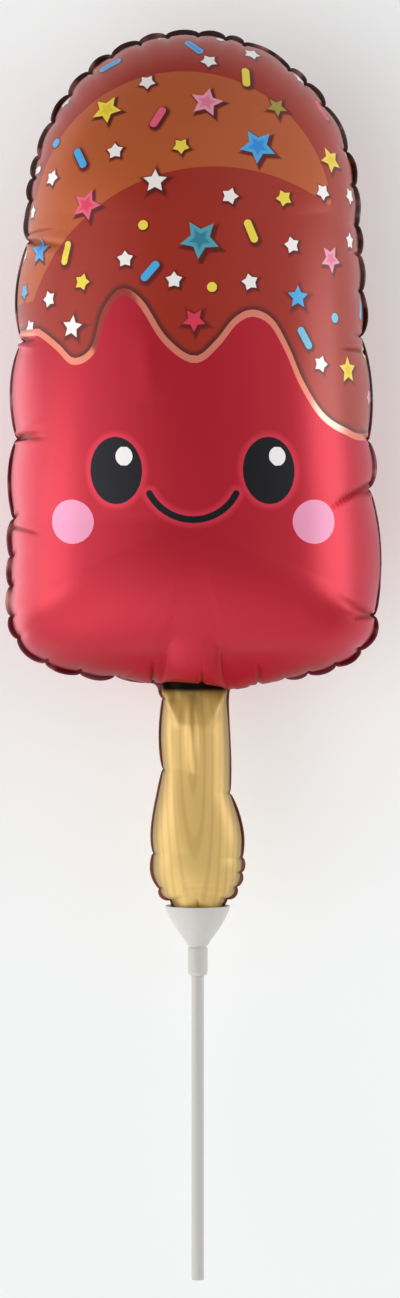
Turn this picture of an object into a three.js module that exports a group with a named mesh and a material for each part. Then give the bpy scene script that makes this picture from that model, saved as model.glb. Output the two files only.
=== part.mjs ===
// An ice lolly made as a foil balloon: two printed sheets welded round their edge and filled with air.
// The balloon's handle is pushed into a moulded plastic cup, and the cup is plugged on a tube stick.
// It lies on its back, face up: +X to the right, +Y towards the lolly's round top, +Z up out of the face.
// Lengths are millimetres. Heights along the lolly, called "y", are counted from the stick's free end.
import * as THREE from "three";

// The whole
const TOTAL_LENGTH = 500;

// The lolly's body: a round dome, sides that flare a little, round bottom corners
const SHOULDER_Y = 425;
const SHOULDER_HALF_WIDTH = 67.4;
const HIP_Y = 270;
const HIP_HALF_WIDTH = 75.5;
const BODY_BOTTOM_Y = 238.5;
const SIDE_PULLS = [new THREE.Vector2(69.5, 395), new THREE.Vector2(74.5, 320)];
const CORNER_PULLS = [new THREE.Vector2(HIP_HALF_WIDTH, 249), new THREE.Vector2(61, BODY_BOTTOM_Y)];

// The handle: a slim tube that swells before it goes into the cup
const NECK_FILLET_RADIUS = 3;
const NECK_HALF_WIDTH = 14.4;
const HANDLE_OUTLINE = [
  new THREE.Vector2(14.1, 229),
  new THREE.Vector2(14.7, 210),
  new THREE.Vector2(16, 195),
  new THREE.Vector2(19.2, 177),
  new THREE.Vector2(19.2, 165),
  new THREE.Vector2(18.2, 159.5),
];
const TAIL_OUTLINE = [
  new THREE.Vector2(15.6, 153.6),
  new THREE.Vector2(11.6, 149.8),
  new THREE.Vector2(9.4, 145.6),
  new THREE.Vector2(5.2, 142),
  new THREE.Vector2(0, 141.2),
];

// How thick the air makes it: half thicknesses, from the weld up to the face
const BODY_HALF_THICKNESS = 52;
const BODY_CROWN = 3;
const UPPER_CENTRE_Y = 414;
const LOWER_CENTRE_Y = 302;
const NECK_CENTRE_Y = 286;
const THICKEST_Y = 352;
const HANDLE_HALF_THICKNESS = [
  new THREE.Vector2(150, 9.6),
  new THREE.Vector2(156, 12.6),
  new THREE.Vector2(166, 14.6),
  new THREE.Vector2(185, 13.6),
  new THREE.Vector2(205, 12.6),
  new THREE.Vector2(226, 12.2),
  new THREE.Vector2(238, 10.8),
];
const TAIL_CENTRE_Y = 150;
const FULLNESS = 2.2;
const BULGE_FULLNESS = 3;
const RESTING_FLAT_DEPTH = 0.8;

// The weld: a thin rim round the foil, drawn in at every pucker
const WELD_THICKNESS = 0.8;
const BODY_WELD_WIDTH = 2.5;
const HANDLE_WELD_WIDTH = 1.6;
const PUCKER_OUTER_DEPTH = 2.4;
const PUCKER_INNER_DEPTH = 0.9;
const CREASE_STRENGTH = 0.3;
const CREASE_REACH = 9;
const CREASE_SHARPNESS = 1.5;

// The cup
const CUP_RIM_Y = 149.6;
const CUP_RIM_RADIUS = 13.1;
const CUP_SHOULDER_Y = 144.4;
const CUP_SHOULDER_RADIUS = 11.2;
const CUP_THROAT_Y = 134;
const CUP_FLOOR_Y = 138.6;
const CUP_WALL = 0.9;
const COLLAR_END_Y = 121.6;
const COLLAR_RADIUS = 4;
const COLLAR_GROOVE_DEPTH = 0.3;
const COLLAR_ROUNDING = 2.2;
const SOCKET_TOP_Y = 136;

// The tube stick
const STICK_RADIUS = 2.5;
const STICK_BORE_RADIUS = 1.8;
const STICK_TOP_Y = 135.6;
const FIT_GAP = 0.3;

// The handle is pushed into its cup slightly off the body's centre line
const CUP_OFFSET = 1.5;

// Fineness of the facets
const RINGS = 8;
const RINGS_CROWD_TO_EDGE = 1.8;
const CUP_SIDES = 32;
const STICK_SIDES = 20;

// The printed fields of colour
const CHOCOLATE = new THREE.Color("#8e352a");
const RASPBERRY = new THREE.Color("#c22c3a");
const WOOD_TAN = new THREE.Color("#d3b06a");
const DRIP_Y = 358;
const DRIP_HEIGHT = 12;
const DRIP_SPACING = 58;

// Sideways shift of the centre line: none in the body, the full offset from the cup down.
function centreX(y) {
  return CUP_OFFSET * (1 - THREE.MathUtils.smoothstep(y, CUP_RIM_Y, BODY_BOTTOM_Y));
}

// Height of an inflated section, 1 at the middle and 0 at the weld, at a part "reach" of the way out.
function inflated(reach, fullness) {
  return Math.sqrt(1 - Math.min(reach, 1) ** fullness);
}

// The crown that runs along the body: thickest below its middle, and level from its lower centre down.
function crown(y) {
  const away = (Math.max(y, LOWER_CENTRE_Y) - THICKEST_Y) / (UPPER_CENTRE_Y - THICKEST_Y);
  return BODY_HALF_THICKNESS - BODY_CROWN * away * away;
}

// Half thickness of the body on its centre line. Its lower end bulges out over the handle.
function bodyHalfThickness(y) {
  const reach = Math.max(0, LOWER_CENTRE_Y - y) / (LOWER_CENTRE_Y - BODY_BOTTOM_Y);
  return crown(y) * inflated(reach, BULGE_FULLNESS);
}

// Half thickness of the handle on its centre line, smooth between its stations.
const handleHalfThickness = new THREE.CubicInterpolant(
  HANDLE_HALF_THICKNESS.map((station) => station.x),
  HANDLE_HALF_THICKNESS.map((station) => station.y),
  1);

// The body swallows the top of the handle, so the thicker of the two shows.
function halfThickness(y) {
  const ofHandle = handleHalfThickness.evaluate(Math.min(y, HANDLE_HALF_THICKNESS.at(-1).x))[0];
  return y < BODY_BOTTOM_Y ? ofHandle : Math.max(ofHandle, bodyHalfThickness(y));
}

// One half of the outline, from the top down to the tail's tip, as stretches.
// "right" and "left" are the lengths of the puckers along a stretch, in proportion to each other.
// "facets" is for one pucker, "weld" the rim's width and "depth" how deep the puckers are drawn in.
// Every spoke of the shell runs from a point on the centre line, between the two "centre" heights,
// to the weld.
function outlineStretches() {
  const shoulder = new THREE.Vector2(SHOULDER_HALF_WIDTH, SHOULDER_Y);
  const hip = new THREE.Vector2(HIP_HALF_WIDTH, HIP_Y);
  const filletX = NECK_HALF_WIDTH + NECK_FILLET_RADIUS;
  const filletY = BODY_BOTTOM_Y - NECK_FILLET_RADIUS;
  const neckEndY = filletY - NECK_FILLET_RADIUS;
  const handleEnd = HANDLE_OUTLINE.at(-1);
  const domeHeight = TOTAL_LENGTH - SHOULDER_Y;
  return [
    {
      curve: new THREE.EllipseCurve(
        0, SHOULDER_Y, SHOULDER_HALF_WIDTH, domeHeight, Math.PI / 2, 0, true),
      right: [7, 9, 18, 11, 12, 17, 17, 16], left: [7, 11, 14, 12, 12, 13, 14, 20],
      facets: 5, weld: BODY_WELD_WIDTH, depth: 1,
      centreFrom: UPPER_CENTRE_Y, centreTo: UPPER_CENTRE_Y,
    },
    {
      curve: new THREE.CubicBezierCurve(shoulder, ...SIDE_PULLS, hip),
      right: [28, 14, 18, 42, 20, 46], left: [14, 40, 37, 33, 28, 12],
      facets: 6, weld: BODY_WELD_WIDTH, depth: 0.8,
      centreFrom: UPPER_CENTRE_Y, centreTo: LOWER_CENTRE_Y,
    },
    {
      curve: new THREE.CubicBezierCurve(
        hip, ...CORNER_PULLS, new THREE.Vector2(filletX, BODY_BOTTOM_Y)),
      right: [13, 12, 16, 31], left: [11, 15, 14, 32],
      facets: 6, weld: BODY_WELD_WIDTH, depth: 1,
      centreFrom: LOWER_CENTRE_Y, centreTo: NECK_CENTRE_Y,
    },
    {
      curve: new THREE.EllipseCurve(
        filletX, filletY, NECK_FILLET_RADIUS, NECK_FILLET_RADIUS, Math.PI / 2, Math.PI, false),
      right: [1], left: [1],
      facets: 12, weld: HANDLE_WELD_WIDTH, depth: 0,
      centreFrom: NECK_CENTRE_Y, centreTo: neckEndY,
    },
    {
      curve: new THREE.SplineCurve([new THREE.Vector2(NECK_HALF_WIDTH, filletY), ...HANDLE_OUTLINE]),
      right: [41, 27, 9], left: [41, 24, 12],
      facets: 7, weld: HANDLE_WELD_WIDTH, depth: 0.4,
      centreFrom: neckEndY, centreTo: handleEnd.y,
    },
    {
      curve: new THREE.SplineCurve([handleEnd, ...TAIL_OUTLINE]),
      right: [6, 8, 12], left: [8, 6, 12],
      facets: 4, weld: HANDLE_WELD_WIDTH, depth: 0.5,
      centreFrom: handleEnd.y, centreTo: TAIL_CENTRE_Y,
    },
  ];
}

// The spokes of one half, from the top to the tail: where each starts and where its weld lies.
// "side" is 1 for the right half and -1 for the left one. The topmost pucker is shared by both.
function spokesOfHalf(side) {
  const spokes = [];
  outlineStretches().forEach((stretch, order) => {
    const lengths = side > 0 ? stretch.right : stretch.left;
    const whole = lengths.reduce((sum, length) => sum + length, 0);
    let passed = 0;
    lengths.forEach((length, pucker) => {
      const isTop = order === 0 && pucker === 0;
      const first = spokes.length ? 1 : 0;
      for (let step = first; step <= stretch.facets; step += 1) {
        const stepShare = step / stretch.facets;
        const across = isTop ? (1 + stepShare) / 2 : stepShare;
        const along = Math.min(1, (passed + length * stepShare) / whole);
        const point = stretch.curve.getPointAt(along);
        const tangent = stretch.curve.getTangentAt(along);
        const outward = new THREE.Vector2(-tangent.y, tangent.x);
        const drawnIn = stretch.depth * (1 - Math.sqrt(1 - (2 * across - 1) ** 2));
        const share = (pucker + stepShare) / lengths.length;
        spokes.push({
          side,
          creased: stretch.depth * (1 - Math.sin(Math.PI * across)) ** CREASE_SHARPNESS,
          centreY: THREE.MathUtils.lerp(stretch.centreFrom, stretch.centreTo, share),
          rim: point.clone().addScaledVector(outward, -PUCKER_OUTER_DEPTH * drawnIn),
          foot: point.clone().addScaledVector(
            outward, -stretch.weld - PUCKER_INNER_DEPTH * drawnIn),
        });
      }
      passed += length;
    });
  });
  return spokes;
}

// The print's ground colour: chocolate over a wavy edge, raspberry under it, tan on the handle.
function groundColour(x, y) {
  if (y < BODY_BOTTOM_Y) return WOOD_TAN;
  const edge = DRIP_Y + DRIP_HEIGHT * Math.cos((2 * Math.PI * (x + DRIP_SPACING / 2)) / DRIP_SPACING);
  return y > edge ? CHOCOLATE : RASPBERRY;
}

// One closed shell: front face, back face and the weld's rim, all on the same spokes.
function foilBalloonGeometry() {
  const right = spokesOfHalf(1);
  const left = spokesOfHalf(-1);
  const around = [...right, ...left.slice(1, -1).reverse()];
  const half = WELD_THICKNESS / 2;
  const floor = -BODY_HALF_THICKNESS + RESTING_FLAT_DEPTH;
  const positions = [];
  const colours = [];
  const faces = [];

  function addVertex(x, y, z) {
    positions.push(x + centreX(y), y, Math.max(z, floor));
    groundColour(x, y).toArray(colours, colours.length);
    return positions.length / 3 - 1;
  }

  function addFace(a, b, c, facing) {
    if (a === b || b === c || a === c) return;
    if (facing > 0) faces.push(a, b, c);
    else faces.push(a, c, b);
  }

  function addStrip(inner, outer, facing) {
    for (let i = 0; i < around.length; i += 1) {
      const next = (i + 1) % around.length;
      addFace(inner[i], outer[i], outer[next], -facing);
      addFace(inner[i], outer[next], inner[next], -facing);
    }
  }

  function addSide(facing) {
    const centres = new Map();
    const rings = [];
    for (let ring = 0; ring <= RINGS; ring += 1) {
      const reach = 1 - (1 - ring / RINGS) ** RINGS_CROWD_TO_EDGE;
      rings.push(around.map((spoke) => {
        const thickness = halfThickness(spoke.centreY);
        if (ring === 0) {
          if (!centres.has(spoke.centreY)) {
            centres.set(spoke.centreY, addVertex(0, spoke.centreY, facing * thickness));
          }
          return centres.get(spoke.centreY);
        }
        const x = spoke.side * spoke.foot.x * reach;
        const y = THREE.MathUtils.lerp(spoke.centreY, spoke.foot.y, reach);
        const crease = 1 - CREASE_STRENGTH * spoke.creased * reach ** CREASE_REACH;
        const share = crease * inflated(reach, FULLNESS) * crown(y) / crown(spoke.centreY);
        return addVertex(x, y, facing * (half + (thickness - half) * share));
      }));
    }
    rings.push(around.map((spoke) => addVertex(spoke.side * spoke.rim.x, spoke.rim.y, facing * half)));
    for (let ring = 0; ring + 1 < rings.length; ring += 1) {
      addStrip(rings[ring], rings[ring + 1], facing);
    }
    return rings.at(-1);
  }

  const frontRim = addSide(1);
  const backRim = addSide(-1);
  addStrip(frontRim, backRim, 1);

  const geometry = new THREE.BufferGeometry();
  geometry.setAttribute("position", new THREE.Float32BufferAttribute(positions, 3));
  geometry.setAttribute("color", new THREE.Float32BufferAttribute(colours, 3));
  geometry.setIndex(faces);
  geometry.computeVertexNormals();
  return geometry;
}

// A turned piece: its profile goes round the stick's axis, and closes on itself.
function turned(profile, sides) {
  const points = [...profile, profile[0]].map(([radius, y]) => new THREE.Vector2(radius, y));
  return new THREE.LatheGeometry(points, sides);
}

// The cup: a funnel with a recess for the balloon's tail, and a collar with a blind socket.
function holderCupGeometry() {
  const socketRadius = STICK_RADIUS + FIT_GAP;
  const profile = [
    [0, SOCKET_TOP_Y],
    [socketRadius, SOCKET_TOP_Y],
    [socketRadius, COLLAR_END_Y],
    [COLLAR_RADIUS - CUP_WALL, COLLAR_END_Y],
    [COLLAR_RADIUS - CUP_WALL / 3, COLLAR_END_Y + COLLAR_ROUNDING / 3],
    [COLLAR_RADIUS, COLLAR_END_Y + COLLAR_ROUNDING],
    [COLLAR_RADIUS, CUP_THROAT_Y - COLLAR_ROUNDING],
    [COLLAR_RADIUS - COLLAR_GROOVE_DEPTH, CUP_THROAT_Y - COLLAR_GROOVE_DEPTH],
    [COLLAR_RADIUS, CUP_THROAT_Y],
    [CUP_SHOULDER_RADIUS, CUP_SHOULDER_Y],
    [CUP_RIM_RADIUS, CUP_RIM_Y],
    [CUP_RIM_RADIUS - CUP_WALL, CUP_RIM_Y],
    [CUP_SHOULDER_RADIUS - CUP_WALL, CUP_SHOULDER_Y + CUP_WALL / 2],
    [CUP_SHOULDER_RADIUS / 2, CUP_FLOOR_Y],
    [0, CUP_FLOOR_Y],
  ];
  return turned(profile, CUP_SIDES);
}

// The stick: an open tube whose top stands in the cup's socket.
function holderStickGeometry() {
  const profile = [
    [STICK_BORE_RADIUS, STICK_TOP_Y],
    [STICK_BORE_RADIUS, 0],
    [STICK_RADIUS, 0],
    [STICK_RADIUS, STICK_TOP_Y],
  ];
  return turned(profile, STICK_SIDES);
}

function namedMesh(name, geometry, material) {
  const mesh = new THREE.Mesh(geometry, new THREE.MeshStandardMaterial(material));
  mesh.name = name;
  return mesh;
}

const balloon = namedMesh("foil_balloon", foilBalloonGeometry(), {
  vertexColors: true, metalness: 0.55, roughness: 0.28,
});
const cup = namedMesh("holder_cup", holderCupGeometry(), {
  color: "#dddcda", metalness: 0, roughness: 0.42,
});
const stick = namedMesh("holder_stick", holderStickGeometry(), {
  color: "#dcdbd8", metalness: 0, roughness: 0.42,
});
cup.position.x = CUP_OFFSET;
stick.position.x = CUP_OFFSET;

const lolly = new THREE.Group();
lolly.add(balloon, cup, stick);

// Set the origin under the middle of the whole, on the surface that it lies on.
const bounds = new THREE.Box3().setFromObject(lolly, true);
const middle = bounds.getCenter(new THREE.Vector3());
lolly.position.set(-middle.x, -middle.y, -bounds.min.z);

export default lolly;
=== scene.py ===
"""The looks of an ice lolly foil balloon on a cup and stick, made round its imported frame.

Two printed metallised films are welded round their edge and filled with air. The balloon's handle is pushed
into a moulded plastic cup, and a tube stick is plugged into the cup. The lolly lies on its back, face up.

The classes hold sizes in millimetres in the lolly's own frame: x across from the centre line of its body, y
along it from the stick's free end, z up from the weld. Meshes are made in metres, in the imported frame.
"""

import logging
import math
from dataclasses import dataclass, field, replace
from enum import Enum
from typing import Any, Iterable, Sequence

import bpy
import numpy as np
from bpy.types import Material, Mesh, Node, NodeSocket, NodeTree, Object
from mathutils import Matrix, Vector
from mathutils.bvhtree import BVHTree
from mathutils.geometry import barycentric_transform

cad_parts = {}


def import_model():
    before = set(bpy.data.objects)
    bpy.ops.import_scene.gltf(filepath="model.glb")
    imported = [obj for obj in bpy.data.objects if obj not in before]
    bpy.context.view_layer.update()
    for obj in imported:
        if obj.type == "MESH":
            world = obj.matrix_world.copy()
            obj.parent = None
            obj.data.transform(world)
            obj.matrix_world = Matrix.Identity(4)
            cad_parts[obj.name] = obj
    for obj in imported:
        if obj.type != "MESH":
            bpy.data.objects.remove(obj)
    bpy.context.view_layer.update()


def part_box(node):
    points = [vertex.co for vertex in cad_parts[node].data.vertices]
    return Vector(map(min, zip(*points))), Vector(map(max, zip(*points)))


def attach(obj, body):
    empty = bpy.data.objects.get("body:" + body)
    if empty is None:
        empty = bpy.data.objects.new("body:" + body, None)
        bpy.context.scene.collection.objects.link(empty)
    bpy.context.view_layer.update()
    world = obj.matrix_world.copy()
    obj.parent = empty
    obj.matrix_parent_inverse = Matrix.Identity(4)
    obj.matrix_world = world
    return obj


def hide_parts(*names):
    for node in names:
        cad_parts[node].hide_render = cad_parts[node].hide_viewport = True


MM = 0.001
SEED = 7
LOG = logging.getLogger("lolly")

# Where the camera stands in the lolly's own frame. The print is laid out as it shows from there, on the plane
# of the weld.
VIEWPOINT = (2.4, 252.2, 1350.0)

# Blender's names for the kinds of node that the materials use most.
MATH = "ShaderNodeMath"
VECTOR_MATH = "ShaderNodeVectorMath"
MAP_RANGE = "ShaderNodeMapRange"
MIX = "ShaderNodeMix"
NOISE = "ShaderNodeTexNoise"

Point = tuple[float, float]
Places = tuple[float, ...]


def linear(colour: str) -> tuple[float, float, float, float]:
    """Turn an sRGB hex colour to linear light.

    Args:
        colour: Six hex digits after a hash sign.

    Returns:
        Red, green, blue and an alpha of one.
    """
    parts = [int(colour[i:i + 2], 16) / 255 for i in (1, 3, 5)]
    red, green, blue = (c / 12.92 if c <= 0.04045 else ((c + 0.055) / 1.055) ** 2.4 for c in parts)
    return red, green, blue, 1.0


def feed(tree: NodeTree, node: Node, inputs: dict[int | str, Any]) -> None:
    """Give inputs of a node a value or a link.

    Args:
        tree: The node's tree.
        node: The node.
        inputs: By input, a plain value, a socket that feeds it, or a node whose first output in use does.
    """
    for socket, value in inputs.items():
        if isinstance(value, Node):
            value = next(output for output in value.outputs if output.enabled)
        if isinstance(value, NodeSocket):
            tree.links.new(value, node.inputs[socket])
        else:
            node.inputs[socket].default_value = value


def add_node(tree: NodeTree, kind: str, inputs: dict[int | str, Any] | None = None, **settings: Any) -> Node:
    """Add a node with its settings and links.

    Args:
        tree: The tree that gets the node.
        kind: Blender's name for the kind of node.
        inputs: What its inputs are fed with.
        settings: The node's own properties.

    Returns:
        The new node.
    """
    node = tree.nodes.new(kind)
    for name, value in settings.items():
        setattr(node, name, value)
    feed(tree, node, inputs or {})
    return node


def new_material(name: str) -> tuple[Material, NodeTree, Node]:
    """Make a material of nodes.

    Args:
        name: Its name.

    Returns:
        The material, its tree and its shader.
    """
    material = bpy.data.materials.new(name)
    material.use_nodes = True
    tree = material.node_tree
    return material, tree, tree.nodes["Principled BSDF"]


def write_column(mesh: Mesh, name: str, values: np.ndarray, domain: str = "POINT") -> None:
    """Keep a column on a mesh: a number, a place in the plane or a colour for each vertex or corner.

    Args:
        mesh: The mesh.
        name: The column's name.
        values: By vertex or corner, 1, 2 or 4 numbers.
        domain: POINT for vertices, CORNER for corners.
    """
    values = values.reshape(len(values), -1)
    width = values.shape[1]
    kind, key, size = {1: ("FLOAT", "value", 1), 2: ("FLOAT_VECTOR", "vector", 3),
                       4: ("FLOAT_COLOR", "color", 4)}[width]
    filled = np.zeros((len(values), size), np.float32)
    filled[:, :width] = values
    mesh.attributes.new(name, kind, domain).data.foreach_set(key, filled.ravel())


@dataclass(frozen=True)
class LollyFrame:
    """Where the lolly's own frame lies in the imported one."""

    origin: Vector

    @classmethod
    def of_pack(cls, cup_offset: float) -> "LollyFrame":
        """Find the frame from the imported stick, whose axis lies in the plane of the weld.

        Args:
            cup_offset: How far the stick's axis is from the body's centre line.

        Returns:
            The frame.
        """
        low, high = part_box("holder_stick")
        axis = (low + high) / 2
        return cls(Vector((axis.x - cup_offset * MM, low.y, axis.z)))

    def place(self, points: np.ndarray) -> np.ndarray:
        """Turn points of the lolly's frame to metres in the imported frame."""
        return np.asarray(points, float) * MM + np.array(self.origin)


class Line:
    """A smooth line in the plane, held as close points and measured along its length."""

    def __init__(self, points: Any) -> None:
        """Keep the points, and how far along the line each one lies.

        Args:
            points: Rows of x and y.
        """
        self.points = np.asarray(points, float)
        steps = np.linalg.norm(np.diff(self.points, axis=0), axis=1)
        self.passed = np.concatenate([[0.0], np.cumsum(steps)])

    @classmethod
    def arc(cls, centre: Point, radii: Point, ends: Point, count: int = 240, fullness: float = 2) -> "Line":
        """Follow an ellipse or a squarer oval.

        Args:
            centre: Its centre.
            radii: Its two radii.
            ends: The angles in degrees where the line starts and ends.
            count: How many points the line gets.
            fullness: 2 for an ellipse, more for a squarer oval.

        Returns:
            The line.
        """
        angle = np.radians(np.linspace(*ends, count))
        way = np.column_stack([np.cos(angle), np.sin(angle)])
        return cls(np.array(centre) + np.array(radii) * np.sign(way) * np.abs(way) ** (2 / fullness))

    @classmethod
    def bezier(cls, *controls: Point) -> "Line":
        """Follow a cubic Bezier curve.

        Args:
            controls: Its four control points.

        Returns:
            The line.
        """
        share = np.linspace(0, 1, 240)[:, None]
        start, pull, other_pull, end = (np.array(point) for point in controls)
        return cls((1 - share) ** 3 * start + 3 * (1 - share) ** 2 * share * pull
                   + 3 * (1 - share) * share ** 2 * other_pull + share ** 3 * end)

    @classmethod
    def spline(cls, points: Sequence[Point], steps: int = 24) -> "Line":
        """Follow a Catmull-Rom spline.

        Args:
            points: The points that it passes through.
            steps: How many points the line gets between two of them.

        Returns:
            The line.
        """
        ends = np.array([points[0], *points, points[-1]], float)
        share = np.linspace(0, 1, steps, endpoint=False)[:, None]
        pieces = []
        for a, b, c, d in zip(ends, ends[1:], ends[2:], ends[3:]):
            pieces.append(0.5 * (2 * b + (c - a) * share + (2 * a - 5 * b + 4 * c - d) * share ** 2
                                 + (3 * b - a - 3 * c + d) * share ** 3))
        return cls(np.vstack([*pieces, ends[-1:]]))

    @property
    def length(self) -> float:
        """The line's whole length."""
        return float(self.passed[-1])

    def at(self, distance: np.ndarray) -> np.ndarray:
        """The points that lie so far along the line."""
        return np.column_stack([np.interp(distance, self.passed, column) for column in self.points.T])

    def inset(self, distance: np.ndarray, width: np.ndarray | float) -> np.ndarray:
        """Find points beside the line.

        Args:
            distance: How far along the line each one lies.
            width: How far to the right of the line's run.

        Returns:
            The points.
        """
        nearby = 0.05
        run = self.at(distance + nearby) - self.at(distance - nearby)
        run /= np.linalg.norm(run, axis=1)[:, None]
        right = np.column_stack([run[:, 1], -run[:, 0]])
        return self.at(distance) + right * np.reshape(width, (-1, 1))

    def signed_distance(self, points: np.ndarray) -> np.ndarray:
        """Measure how far points lie from the line.

        Args:
            points: The points.

        Returns:
            The distances, above zero to the left of the line's run and below zero to the right.
        """
        best = np.full(len(points), np.inf)
        signed = np.zeros(len(points))
        for start, end in zip(self.points, self.points[1:]):
            run = end - start
            reach = points - start
            share = np.clip(reach @ run / max(run @ run, 1e-12), 0, 1)
            gap = np.linalg.norm(reach - share[:, None] * run, axis=1)
            nearer = gap < best - 1e-9
            side = np.sign(run[0] * reach[:, 1] - run[1] * reach[:, 0])
            signed[nearer] = (side * gap)[nearer]
            best[nearer] = gap[nearer]
        return signed

    def depth(self, points: np.ndarray) -> np.ndarray:
        """Measure how far points lie inside the closed line.

        Args:
            points: The points.

        Returns:
            The depths, below zero outside.
        """
        within = np.zeros(len(points), bool)
        x, y = points.T
        for (x0, y0), (x1, y1) in zip(self.points, self.points[1:]):
            if y0 != y1:
                crossing = x0 + (y - y0) * (x1 - x0) / (y1 - y0)
                within ^= ((y0 > y) != (y1 > y)) & (x < crossing)
        away = np.abs(self.signed_distance(points))
        return np.where(within, away, -away)


@dataclass(frozen=True)
class Stretch:
    """A stretch of half the weld, in order from the top to the tail.

    Attributes:
        rims: The line that the tips of the puckers touch.
        centres: The two heights on the centre line between which its spokes start.
        notches: Where the right half's notches and the left half's lie, in millimetres along it.
        weld: Width of the weld.
        depth: How deep the puckers are drawn in, as a part of the full depth.
        fullness: How full the section is where the stretch starts and ends.
        feet: The weld's inner edge, where it isn't parallel to the rim.
        shares: Where its spokes stand, as parts of its length, where they aren't even.
        welded: Whether it has a weld at all.
    """

    rims: Line
    centres: Point
    notches: tuple[Places, Places] = ((), ())
    weld: float = 0
    depth: float = 0
    fullness: Point = (2.2, 2.2)
    feet: Line | None = None
    shares: np.ndarray | None = None
    welded: bool = True

    @property
    def seam(self) -> Line:
        """The line along which it is measured."""
        return self.feet or self.rims

    def steps(self, spacing: float) -> np.ndarray:
        """Place its spokes: about a spacing apart, or where they are told to stand.

        Args:
            spacing: The distance between two spokes.

        Returns:
            How far along it each one stands.
        """
        if self.shares is not None:
            return self.shares * self.seam.length
        return np.linspace(0, self.seam.length, max(4, round(self.seam.length / spacing)) + 1)


@dataclass(frozen=True)
class LollyOutline:
    """The outline that the weld follows: a round dome, flared sides, round corners, a handle that swells.

    The notches are those of the right half and of the left one, in millimetres along each stretch.
    """

    top_y: float = 500
    dome_fullness: float = 2.07
    shoulder: Point = (67.4, 425)
    hip: Point = (75.5, 270)
    side_pulls: tuple[Point, Point] = ((71.5, 397), (74.5, 320))
    bottom_y: float = 238.5
    corner_pulls: tuple[Point, Point] = ((75.5, 249), (61, 238.5))
    fillet_radius: float = 3
    neck_half_width: float = 14.4
    handle: tuple[Point, ...] = ((14.1, 229), (14.7, 210), (16, 195), (19.2, 177), (19.2, 165), (18.2, 159.5))
    tail: tuple[Point, ...] = ((15.6, 153.6), (11.6, 149.8), (9.4, 145.6), (5.2, 142), (0, 141.2))
    body_weld: float = 2.8
    handle_weld: float = 1.7
    upper_centre_y: float = 414
    lower_centre_y: float = 302
    tail_centre_y: float = 150
    side_fullness: float = 2.2
    bulge_fullness: float = 2.8
    dome_notches: tuple[Places, Places] = (
        (3, 14, 22.5, 44, 52.5, 65, 85.5, 99.5), (10.5, 21.5, 34, 46.5, 59, 72.5, 87, 96.5, 106.5))
    side_notches: tuple[Places, Places] = ((3, 15.5, 30, 48.4, 90, 109), (9.5, 50, 88.5, 121, 136, 148))
    corner_notches: tuple[Places, Places] = ((4.4, 21.5, 34.5, 46, 56, 68), (4.5, 15.5, 31, 46, 60.5))
    neck_notches: tuple[Places, Places] = ((0,), ())
    handle_notches: tuple[Places, Places] = ((40.5, 66.6, 73.5), (3.5, 31, 65.5))
    tail_notches: tuple[Places, Places] = ((3.5, 10), (4, 11))
    handle_depth: float = 0.65
    tail_depth: float = 0.9

    @property
    def neck_y(self) -> float:
        """Where the body's lower wall meets the handle."""
        return self.bottom_y + self.body_weld

    @property
    def neck_rim(self) -> Point:
        """Where the handle's rim starts, below the fillet between it and the body."""
        return self.neck_half_width, self.bottom_y - self.fillet_radius

    @property
    def handle_line(self) -> Line:
        """The handle's rim from the neck down."""
        return Line.spline([self.neck_rim, *self.handle])

    @property
    def handle_foot(self) -> Point:
        """The weld's inner edge at the handle's upper end."""
        x, y = self.handle_line.inset(np.zeros(1), self.handle_weld)[0]
        return float(x), float(y)

    def body(self, neck_shares: np.ndarray) -> list[Stretch]:
        """List the stretches round half the body, the last one along the neck, where it has no weld.

        Args:
            neck_shares: Where the handle's first row of vertices needs spokes, as parts of half the neck.

        Returns:
            The stretches, from the top to the middle of the neck.
        """
        rim_x, rim_y = self.neck_rim
        fillet_x = rim_x + self.fillet_radius
        high, low = self.upper_centre_y, self.lower_centre_y
        full = (self.bulge_fullness, self.bulge_fullness)
        neck_corner = (self.handle_foot[0], self.neck_y)
        neck = Line([neck_corner, (0, self.neck_y)])
        dome_radii = (self.shoulder[0], self.top_y - self.shoulder[1])
        dome = Line.arc((0, self.shoulder[1]), dome_radii, (90, 0), fullness=self.dome_fullness)
        side = Line.bezier(self.shoulder, *self.side_pulls, self.hip)
        corner = Line.bezier(self.hip, *self.corner_pulls, (fillet_x, self.bottom_y))
        fillet = Line.arc((fillet_x, rim_y), (self.fillet_radius, self.fillet_radius), (90, 180))
        return [
            Stretch(dome, (high, high), self.dome_notches, self.body_weld, 1),
            Stretch(side, (high, low), self.side_notches, self.body_weld, 1),
            Stretch(corner, (low, low), self.corner_notches, self.body_weld, 1,
                    (self.side_fullness, self.bulge_fullness)),
            Stretch(fillet, (low, low), fullness=full, feet=Line([(fillet_x, self.neck_y), neck_corner])),
            Stretch(neck, (low, low), fullness=full, feet=neck, shares=neck_shares, welded=False),
        ]

    def grip(self) -> list[Stretch]:
        """List the stretches down half the handle.

        Returns:
            The stretches, from the neck to the tail's tip.
        """
        foot = self.handle_foot
        x, y = self.neck_rim
        end = self.handle[-1]
        weld = self.handle_weld
        corner = Line([(x, y), (x, y - 1e-6)])
        corner_feet = Line([(foot[0], self.neck_y), foot])
        tail = Line.spline([end, *self.tail])
        return [
            Stretch(corner, (self.neck_y, foot[1]), self.neck_notches, feet=corner_feet),
            Stretch(self.handle_line, (foot[1], end[1]), self.handle_notches, weld, self.handle_depth),
            Stretch(tail, (end[1], self.tail_centre_y), self.tail_notches, weld, self.tail_depth),
        ]


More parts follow.
